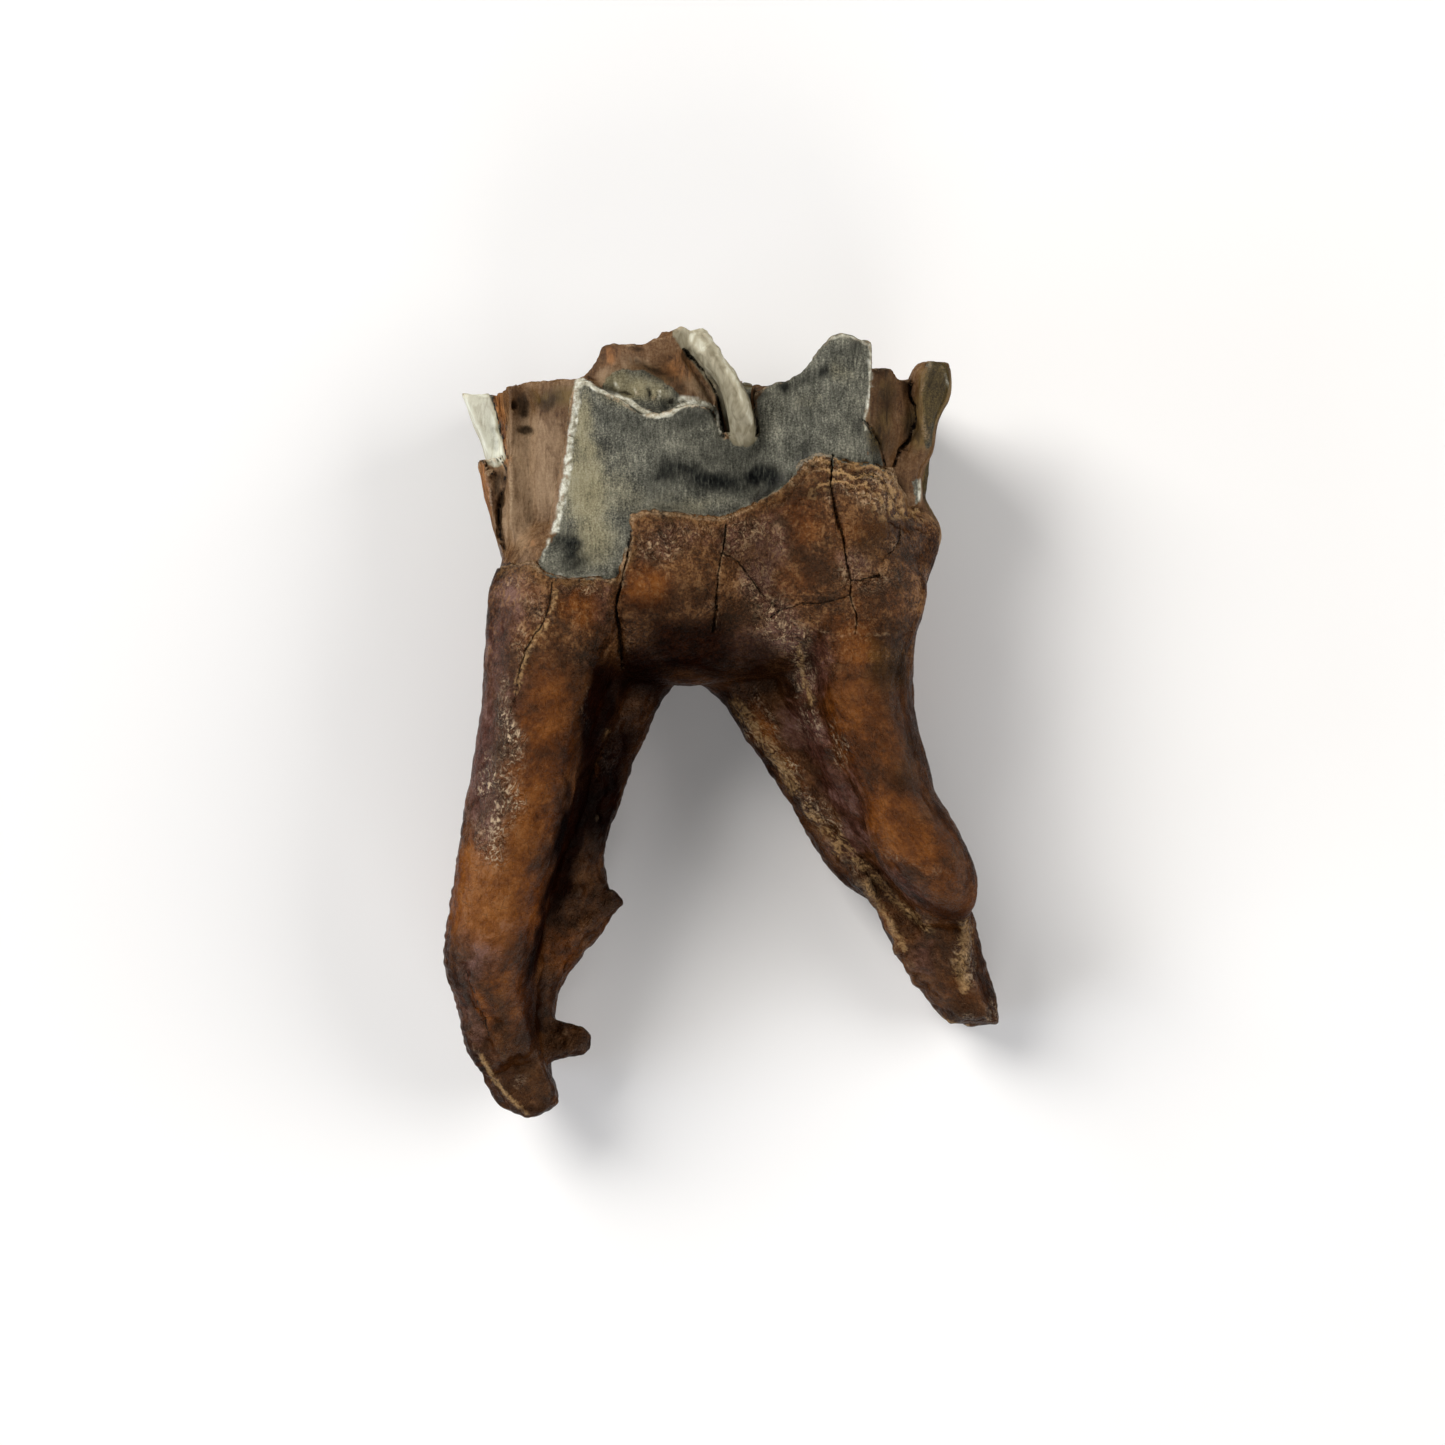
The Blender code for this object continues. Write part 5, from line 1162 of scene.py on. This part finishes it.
def mark_lines(mesh, points, facing):
    """White broken edges, partly painted highlight, and worn ridges, drawn along lines seen in the
    photograph.
    """
    places = shaken(points, LINE_SHAKE)
    for name, rows in (("white_and_highlight", WHITE_EDGES_AND_HIGHLIGHTS), ("ridged", PALE_RIDGES)):
        drawn = (strength * line_strength(places, line, half_width) for line, half_width, strength in rows)
        set_number(mesh, name, strongest(len(points), drawn) * facing)


def mark_smooth_faces(mesh, points, facing):
    """Where enamel shows a smooth broken face, and how light it is."""
    places = shaken(points, LINE_SHAKE)
    smooth = np.zeros(len(points))
    light = np.zeros(len(points))
    for line, half_width, lightness in SMOOTH_FACES:
        gap = distance_to_line(places, smooth_samples(line), LINE_FADE * half_width)
        near = 1 - between(gap, 0.6 * half_width, 1.2 * half_width)
        smooth = np.maximum(smooth, near)
        light = np.maximum(light, lightness * near)
    set_number(mesh, "smooth", smooth * facing)
    set_number(mesh, "light", light)


def mark_cracks(mesh, points, facing):
    """How near each point is to a crack, 1 on it and 0 where its sides end."""
    places = shaken(points, LINE_SHAKE, FINE_SHAKE)
    near = strongest(len(points), (1 - gap / (CRACK_SPREAD * w) for gap, w, _ in crack_gaps(places)))
    set_number(mesh, "crack", np.clip(near, 0, 1) * facing)


def mark_grain(mesh, points):
    """Coordinates that run along the roots, for streaks and fibres."""
    x, y, z = points.T
    lean = np.where(x < FORK_X, *ROOT_LEANS)
    grain = np.stack([x + lean * np.minimum(y - FORK_Y, 0), y, z], axis=1)
    layer = mesh.attributes.new("grain", "FLOAT_VECTOR", "POINT")
    layer.data.foreach_set("vector", grain.astype(np.float32).ravel())


def shade(colour):
    """A colour from 0 to 255, as it looks, as the linear numbers a shader takes."""
    parts = [value / 255 for value in colour]
    return (*[part / 12.92 if part <= 0.04045 else ((part + 0.055) / 1.055) ** 2.4 for part in parts], 1)


class Value:
    """A number or colour that nodes work out. Plain sums of values add the nodes they need."""

    def __init__(self, paint, socket):
        self.paint = paint
        self.socket = socket

    def maths(self, operation, a, b=0):
        return self.paint.add("Math", {0: a, 1: b}, operation=operation)

    def __add__(self, other):
        return self.maths("ADD", self, other)

    def __sub__(self, other):
        return self.maths("SUBTRACT", self, other)

    def __rsub__(self, other):
        return self.maths("SUBTRACT", other, self)

    def __mul__(self, other):
        return self.maths("MULTIPLY", self, other)

    def __abs__(self):
        return self.maths("ABSOLUTE", self)

    def most(self, other):
        return self.maths("MAXIMUM", self, other)

    def folded(self, length):
        return self.maths("PINGPONG", self, length)

    def between(self, low, high, bottom=0, top=1):
        """bottom below low and top above high, with an even slope where they meet."""
        inputs = {"Value": self, "From Min": low, "From Max": high, "To Min": bottom, "To Max": top}
        return self.paint.add("MapRange", inputs, interpolation_type="SMOOTHSTEP")

    def ramp(self, colours, low, high):
        """A run of colours from low to high."""
        colour = self.paint.add("ValToRGB", {"Fac": self})
        stops = colour.socket.node.color_ramp.elements
        while len(stops) < len(colours):
            stops.new(0.5)
        for i, shown in enumerate(colours):
            stops[i].position = low + (high - low) * i / (len(colours) - 1)
            stops[i].color = shade(shown)
        return colour

    def under(self, share, above, blend="MIX"):
        """This colour with a share of another on top."""
        return self.paint.over(share, self, above, blend)


class Paint:
    """A material in the making. Its functions add nodes and return values."""

    def __init__(self, name):
        self.material = bpy.data.materials.new(name)
        self.material.use_nodes = True
        self.tree = self.material.node_tree
        self.shader = self.tree.nodes["Principled BSDF"]
        self.places = self.number("grain", "Vector")

    def add(self, kind, inputs, output=0, **settings):
        node = self.tree.nodes.new("ShaderNode" + kind)
        for name, value in settings.items():
            setattr(node, name, value)
        for key, value in inputs.items():
            if isinstance(value, Value):
                self.tree.links.new(value.socket, node.inputs[key])
            else:
                node.inputs[key].default_value = value
        return Value(self, node.outputs[output])

    def set(self, name, value):
        self.tree.links.new(value.socket, self.shader.inputs[name])

    def number(self, name, output="Fac"):
        return self.add("Attribute", {}, output, attribute_name=name)

    def stretched(self, x, y, z):
        return self.add("VectorMath", {0: self.places, 1: (x, y, z)}, operation="MULTIPLY")

    def noise(self, per_mm, detail, rough, at=None, bent=0):
        inputs = {"Vector": at or self.places, "Scale": per_mm, "Detail": detail, "Roughness": rough}
        return self.add("TexNoise", {**inputs, "Distortion": bent})

    def cells(self, per_mm, at):
        """How far places are from the borders of cells."""
        inputs = {"Vector": at, "Scale": per_mm}
        return self.add("TexVoronoi", inputs, "Distance", feature="DISTANCE_TO_EDGE")

    def over(self, share, below, above, blend="MIX"):
        return self.add("Mix", {0: share, 6: below, 7: above}, 2, data_type="RGBA", blend_type=blend)

    def striae(self):
        """Fine upright lines of the crown."""
        return self.noise(1, 4, 0.7, self.stretched(3.6, 0.8, 3.6), 0.3)

    def wrinkles(self):
        """Thin curved lines, 1 on them, that wander like wrinkles in skin."""
        winding = self.noise(0.8, 1.5, 0.5, self.stretched(1.1, 0.8, 1), 1.6)
        return abs(winding - 0.5).between(0, 0.10, 1, 0)

    def patch(self, name, noise, soft=0.8, broken=1.4):
        """Where a stain shows, with an edge broken up by noise."""
        return (self.number(name) + (noise - 0.5) * broken).between(0.5 - soft / 2, 0.5 + soft / 2)


def root_colour(paint, colour, root, broad, middle, fine):
    """Cement with the colours of the roots over it: brown, orange glow, purple bloom and olive."""
    smooth = broad * 0.45 + middle * 0.40 + fine * 0.15
    glow = smooth + (paint.number("orange") - 0.8) * 0.16
    colour = colour.under(root, smooth.ramp(ROOT_COLOURS, 0.40, 0.62))
    colour = colour.under(paint.patch("orange", smooth, 1.1, 1), glow.ramp(ORANGE_COLOURS, 0.40, 0.63))
    colour = colour.under(paint.patch("purple", middle, 0.9) * 0.8, smooth.ramp(PURPLE_COLOURS, 0.40, 0.60))
    return colour.under(paint.patch("olive", middle) * 0.85, glow.ramp(OLIVE_COLOURS, 0.38, 0.62))


def scuffs_and_glints(paint, colour, root, broad, middle):
    """Light flecks, pale threads and worn ridges on cement; on the roots the pale threads are painted glints
    of light.
    """
    streaks = paint.noise(1, 5, 0.7, paint.stretched(2.4, 0.6, 2), 0.6)
    flakes = paint.noise(1.3, 3.5, 0.62, bent=1.4)
    flaky = (broad * 0.6 + middle * 0.4).between(0.42, 0.58)
    flecks = flaky * (streaks * 0.35 + flakes * 0.65).between(0.52, 0.57) * root.between(0, 1, 0.55, 0.10)
    colour = colour.under(flecks, shade(FLECK_COLOUR))
    threads = paint.wrinkles().between(0.35, 0.95) * flakes.between(0.44, 0.56)
    threads = threads.most(flakes.between(0.59, 0.64))
    # on the roots the pale threads are painted in the glint colour: painted highlights
    pale = paint.number("pale").between(0.05, 0.9) * threads * middle.between(0.38, 0.58, 0.2, 0.9)
    colour = colour.under(pale, paint.over(root, shade(PALE_COLOUR), shade(PAINTED_GLINT_COLOUR)))
    ridged = paint.patch("ridged", flakes, 0.9, 2.8) * 0.75 * paint.number("ridged").between(0.05, 0.3)
    return colour.under(ridged, shade(LEDGE_COLOUR))


def cement_colour(paint, fine):
    """Brown cement and root surface: mottled and stained, with pale scuffs and painted glints, dark specks,
    hairlines and painted shade in its dark patches.
    """
    broad = paint.noise(0.20, 6, 0.62)
    middle = paint.noise(0.75, 6, 0.7, bent=0.5)
    smooth = broad * 0.45 + middle * 0.40 + fine * 0.15
    root = (paint.number("root") + (broad - 0.5)).between(0.2, 0.8)
    colour = (broad * 0.35 + middle * 0.30 + fine * 0.35).ramp(CEMENT_COLOURS, 0.42, 0.59)
    colour = root_colour(paint, colour, root, broad, middle, fine)
    colour = scuffs_and_glints(paint, colour, root, broad, middle)
    specks = fine.between(0.42, 0.36) * root.between(0, 1, 0.5, 0)
    colour = colour.under(specks, shade(CEMENT_COLOURS[0]))
    # dark patches: real stains, and painted shade in the root fork, the grooves and the roots' shaded right
    # sides
    colour = colour.under(paint.patch("dark_and_shade", smooth, 1, 1.8), shade(DARK_AND_SHADE_TINT), "MULTIPLY")
    lines = paint.cells(0.5, paint.stretched(1.3, 0.9, 1)).between(0, 0.025, 1, 0)
    return colour.under(lines * middle.between(0.45, 0.6) * 0.6, shade(CRACK_AND_SHADE_COLOUR))


def dentine_colour(paint, fine):
    """Bare dentine: tan to brown with streaks along the crown."""
    streaks = paint.noise(0.8, 6, 0.6, paint.stretched(1.8, 0.45, 1.6), 0.8)
    broad = paint.noise(0.3, 5, 0.55)
    mix = streaks * 0.35 + broad * 0.3 + fine * 0.35
    colour = mix.ramp(DENTINE_COLOURS, 0.39, 0.61)
    colour = colour.under(paint.patch("cream", streaks, 1, 0.9), mix.ramp(DENTINE_CREAM, 0.38, 0.62))
    colour = colour.under(paint.patch("orange", streaks), streaks.ramp(DENTINE_ORANGE, 0.38, 0.62))
    colour = colour.under(paint.patch("olive", broad), broad.ramp(DENTINE_OLIVE, 0.38, 0.62))
    return colour.under(paint.patch("dark_and_shade", streaks, 0.7) * 0.9, shade(DENTINE_DARK))


def enamel_colour(paint, fine):
    """Grey enamel with fine upright striae, cream towards its edges and inky stains."""
    striae = paint.striae()
    broad = paint.noise(0.4, 6, 0.62)
    grains = paint.noise(5.5, 2, 0.6)
    mix = striae * 0.3 + grains * 0.35 + broad * 0.35
    colour = mix.ramp(ENAMEL_COLOURS, 0.40, 0.615)
    colour = colour.under(paint.patch("cream", mix, 1, 2.2), mix.ramp(ENAMEL_CREAM, 0.34, 0.68))
    blots = broad * 0.35 + striae * 0.15 + fine * 0.25 + grains * 0.25
    colour = colour.under(paint.patch("dark_and_shade", blots, 1.2, 3.6), striae.ramp(ENAMEL_INK, 0.38, 0.66))
    return colour.under(paint.patch("olive", mix), mix.ramp(ENAMEL_OLIVE, 0.42, 0.60))


def smooth_colour(paint):
    """Smooth broken enamel: cream to white in soft streaks."""
    streaks = paint.noise(0.9, 4, 0.55, paint.stretched(1.6, 0.5, 1.4), 0.6)
    return (paint.number("light") * 0.4 + streaks * 0.5).ramp(SMOOTH_COLOURS, 0.22, 0.76)


def ledge_bands(paint, inside, coarse, fine):
    """Wavy light bands of layered cement along its upper edge on the back lobe."""
    broad = paint.noise(0.5, 3, 0.5)
    depth = inside * 1 + broad * 3 + coarse * 2.2 + fine * 0.7
    bands = depth.folded(0.62).between(0.30, 0.48)
    bands = bands * paint.noise(0.8, 4, 0.6).between(0.40, 0.54, 0.30, 1)
    return bands * inside.between(2.6, 4.2, 1, 0) * paint.number("frill")


def worn_and_shaded(paint, colour, fine, ragged):
    """Pale wear on what stands up, painted shade in the hollows and dark cracks. Also returns the painted
    hollow shade.
    """
    worn = (paint.number("edge") + ragged * 0.12).between(0.05, 0.16)
    worn = worn * fine.between(0.40, 0.60, 0.05, 0.5) * paint.number("root").between(0, 1, 1, 0.4)
    colour = colour.under(worn, shade(PALE_COLOUR))
    # painted shade: the deeper a hollow, the more it is darkened towards the crack colour
    hollow_shade = (paint.number("hollow") + ragged * 0.25).between(0.05, 0.4, 0, 0.8)
    colour = colour.under(hollow_shade, shade(CRACK_AND_SHADE_COLOUR))
    line = paint.number("crack") + ragged * 0.3
    return colour.under(line.between(0.4, 0.65) * 0.92, shade(CRACK_AND_SHADE_COLOUR)), hollow_shade


def paint_tooth():
    """The finish of the whole tooth, with its tissues told apart by the mesh's numbers."""
    paint = Paint("fossil_tooth")
    coarse = paint.noise(1.6, 5, 0.65)
    fine = paint.noise(3.4, 4, 0.75)
    ragged = coarse - 0.5
    enamel = (paint.number("enamel") + ragged).between(-0.08, 0.12)
    inside = paint.number("cement")
    cement = (inside + ragged * 0.8).between(-0.10, 0.10)
    colour = dentine_colour(paint, fine).under(enamel, enamel_colour(paint, fine))
    colour = colour.under(cement, cement_colour(paint, fine))
    colour = colour.under(paint.patch("smooth", coarse, 0.3, 0.4), smooth_colour(paint))
    # white broken edges: partly their own colour, partly painted highlight
    colour = colour.under(paint.patch("white_and_highlight", coarse, 0.5, 0.35), coarse.ramp(WHITE_COLOURS, 0.34, 0.62))
    rim = inside.between(0, 0.15) * inside.between(0.4, 1.3, 1, 0)
    rim = rim * paint.number("frill").between(0, 1, 0.45, 1)
    colour = colour.under(rim * coarse.between(0.40, 0.62, 0, 0.8), shade(RIM_COLOUR))
    colour = colour.under(ledge_bands(paint, inside, coarse, fine) * cement, shade(LEDGE_COLOUR))
    colour, hollow_shade = worn_and_shaded(paint, colour, fine, ragged)
    paint.set("Base Color", colour)
    add_gloss(paint, cement, coarse, fine, hollow_shade)
    add_relief(paint, cement, coarse, fine)
    return paint.material


def add_gloss(paint, cement, coarse, fine, hollow_shade):
    """A low sheen on cement, with glints on its scuffs and none in the hollows; drier enamel and dentine."""
    pale = paint.number("pale")
    rough = coarse.between(0.35, 0.65, 0.18, 0.34) + (1 - cement) * 0.24
    paint.set("Roughness", rough + paint.number("white_and_highlight") * 0.15 - pale * 0.08)
    shaded = hollow_shade.most(paint.number("dark_and_shade") * 0.7)
    glints = pale.between(0, 0.8) * fine.between(0.45, 0.60)
    turned = paint.add("LayerWeight", {"Blend": 0.5}, "Facing")
    level = shaded.between(0, 0.8, 0.27, 0.03) + glints * 0.9
    paint.set("Specular IOR Level", level * turned.between(0.24, 0.52, 1, 0.05))
    paint.set("Specular Tint", paint.over(cement, shade(BARE_GLOSS), shade(CEMENT_GLOSS)))


def add_relief(paint, cement, coarse, fine):
    """The finest relief: small plates and pimples on cement, upright striae on the bare crown."""
    striae = paint.striae()
    plates = paint.cells(0.9, paint.stretched(1.2, 0.9, 1)).between(0, 0.10)
    wrinkles = paint.wrinkles() * paint.number("pale").between(0, 0.8, 0.10, 0.45)
    grown_relief = coarse * 0.55 + fine * 0.3 + striae * 0.30 + plates * 0.10 + wrinkles
    bare_relief = (striae * 0.45 + fine * 0.4) * paint.number("smooth").between(0, 1, 1, 0.3)
    height = grown_relief * cement + bare_relief * (1 - cement)
    paint.set("Normal", paint.add("Bump", {"Height": height, "Strength": 1, "Distance": RELIEF_DEPTH}))


def build_tooth():
    """The finished skin in millimetres, with the numbers its material reads."""
    mesh = fused_form()
    drop_pockets(mesh)
    points = points_of(mesh)
    cement = between(cement_depth(points, 0), 0.4, 1.4) * cheek_side(points, normals_of(mesh))
    soften(mesh, ROOT_ROUNDS, HALF_WAY * np.maximum(1 - between(points[:, 1], 15, 24), cement))
    soften(mesh, EDGE_ROUNDS, HALF_WAY)
    press_forms(mesh)
    refine_cracks(mesh)
    cut_facets(mesh)
    press_details(mesh)
    roughen(mesh)
    rest_on_ground(mesh, REST_SINK)
    dense = points_of(mesh)
    hollow = hollows(mesh, HOLLOW_ROUNDS)
    edge = -hollows(mesh, WORN_ROUNDS)
    mesh = thinned(mesh, MOST_TRIANGLES)
    rest_on_ground(mesh)
    points = points_of(mesh)
    set_number(mesh, "hollow", carried_over(dense, hollow, points))
    set_number(mesh, "edge", carried_over(dense, edge, points))
    mark_all(mesh, points)
    return mesh


def mark_all(mesh, points):
    """Gives the mesh the numbers that its material reads."""
    raw = points + (0, 0, REST_SINK)
    facing, shown, lined = (cheek_side(raw, normals_of(mesh), s) for s in (0, STEEPEST_SEEN, STEEPEST_LINE))
    mark_tissues(mesh, raw, facing)
    mark_stains(mesh, raw, shown)
    mark_smooth_faces(mesh, raw, shown)
    mark_lines(mesh, raw, lined)
    mark_cracks(mesh, raw, facing)
    mark_grain(mesh, points)


def move_onto_frame(mesh):
    """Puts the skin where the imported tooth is, in metres."""
    points = points_of(mesh) * METRES_PER_MM
    low, high = (np.array(corner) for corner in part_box("tooth"))
    own_low, own_high = points.min(axis=0), points.max(axis=0)
    shift = (low + high - own_low - own_high) / 2
    shift[2] = low[2] - own_low[2]
    place_points(mesh, points + shift)


def add_tooth():
    mesh = build_tooth()
    move_onto_frame(mesh)
    mesh.polygons.foreach_set("use_smooth", [True] * len(mesh.polygons))
    mesh.materials.append(paint_tooth())
    tooth = bpy.data.objects.new("tooth_surface", mesh)
    bpy.context.scene.collection.objects.link(tooth)
    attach(tooth, "root")
    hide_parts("tooth")


def add_floor():
    """A plain pale tabletop."""
    bpy.ops.mesh.primitive_plane_add(size=FLOOR_SIZE)
    floor = bpy.context.object
    floor.name = "floor"
    table = bpy.data.materials.new("pale_table")
    table.use_nodes = True
    nodes, links = table.node_tree.nodes, table.node_tree.links
    shader = nodes["Principled BSDF"]
    shader.inputs["Roughness"].default_value = FLOOR_ROUGHNESS
    mottle = nodes.new("ShaderNodeTexNoise")
    mottle.inputs["Scale"].default_value = FLOOR_MOTTLES_PER_METRE
    ramp = nodes.new("ShaderNodeValToRGB")
    for stop, grey in zip(ramp.color_ramp.elements, FLOOR_GREYS):
        stop.color = (grey, grey, grey, 1)
    links.new(mottle.outputs[0], ramp.inputs[0])
    links.new(ramp.outputs[0], shader.inputs["Base Color"])
    floor.data.materials.append(table)


def add_light(name, place, power, size, colour):
    data = bpy.data.lights.new(name, "AREA")
    data.energy = power
    data.size = size
    data.color = colour
    light = bpy.data.objects.new(name, data)
    light.location = place
    light.rotation_euler = (Vector(LIT_POINT) - Vector(place)).to_track_quat("-Z", "Y").to_euler()
    bpy.context.scene.collection.objects.link(light)


def add_lights():
    for light in LIGHTS:
        add_light(*light)
    world = bpy.data.worlds.new("studio")
    world.use_nodes = True
    background = world.node_tree.nodes["Background"]
    background.inputs["Color"].default_value = (1, 1, 1, 1)
    background.inputs["Strength"].default_value = ROOM_LIGHT
    bpy.context.scene.world = world


def add_camera():
    """Straight above the tooth, as the photograph was taken."""
    data = bpy.data.cameras.new("camera")
    data.sensor_width = CAMERA_SENSOR
    data.lens = CAMERA_SENSOR * CAMERA_HEIGHT / PICTURE_WIDTH
    data.clip_end = CAMERA_SIGHT
    camera = bpy.data.objects.new("camera", data)
    camera.location = np.array((CAMERA_X, CAMERA_Y, CAMERA_PLANE + CAMERA_HEIGHT)) * METRES_PER_MM
    bpy.context.scene.collection.objects.link(camera)
    bpy.context.scene.camera = camera


def main():
    noise.seed_set(SHAKE_SEED)
    add_tooth()
    add_floor()
    add_lights()
    add_camera()
    bpy.context.scene.view_settings.view_transform = "Standard"


main()
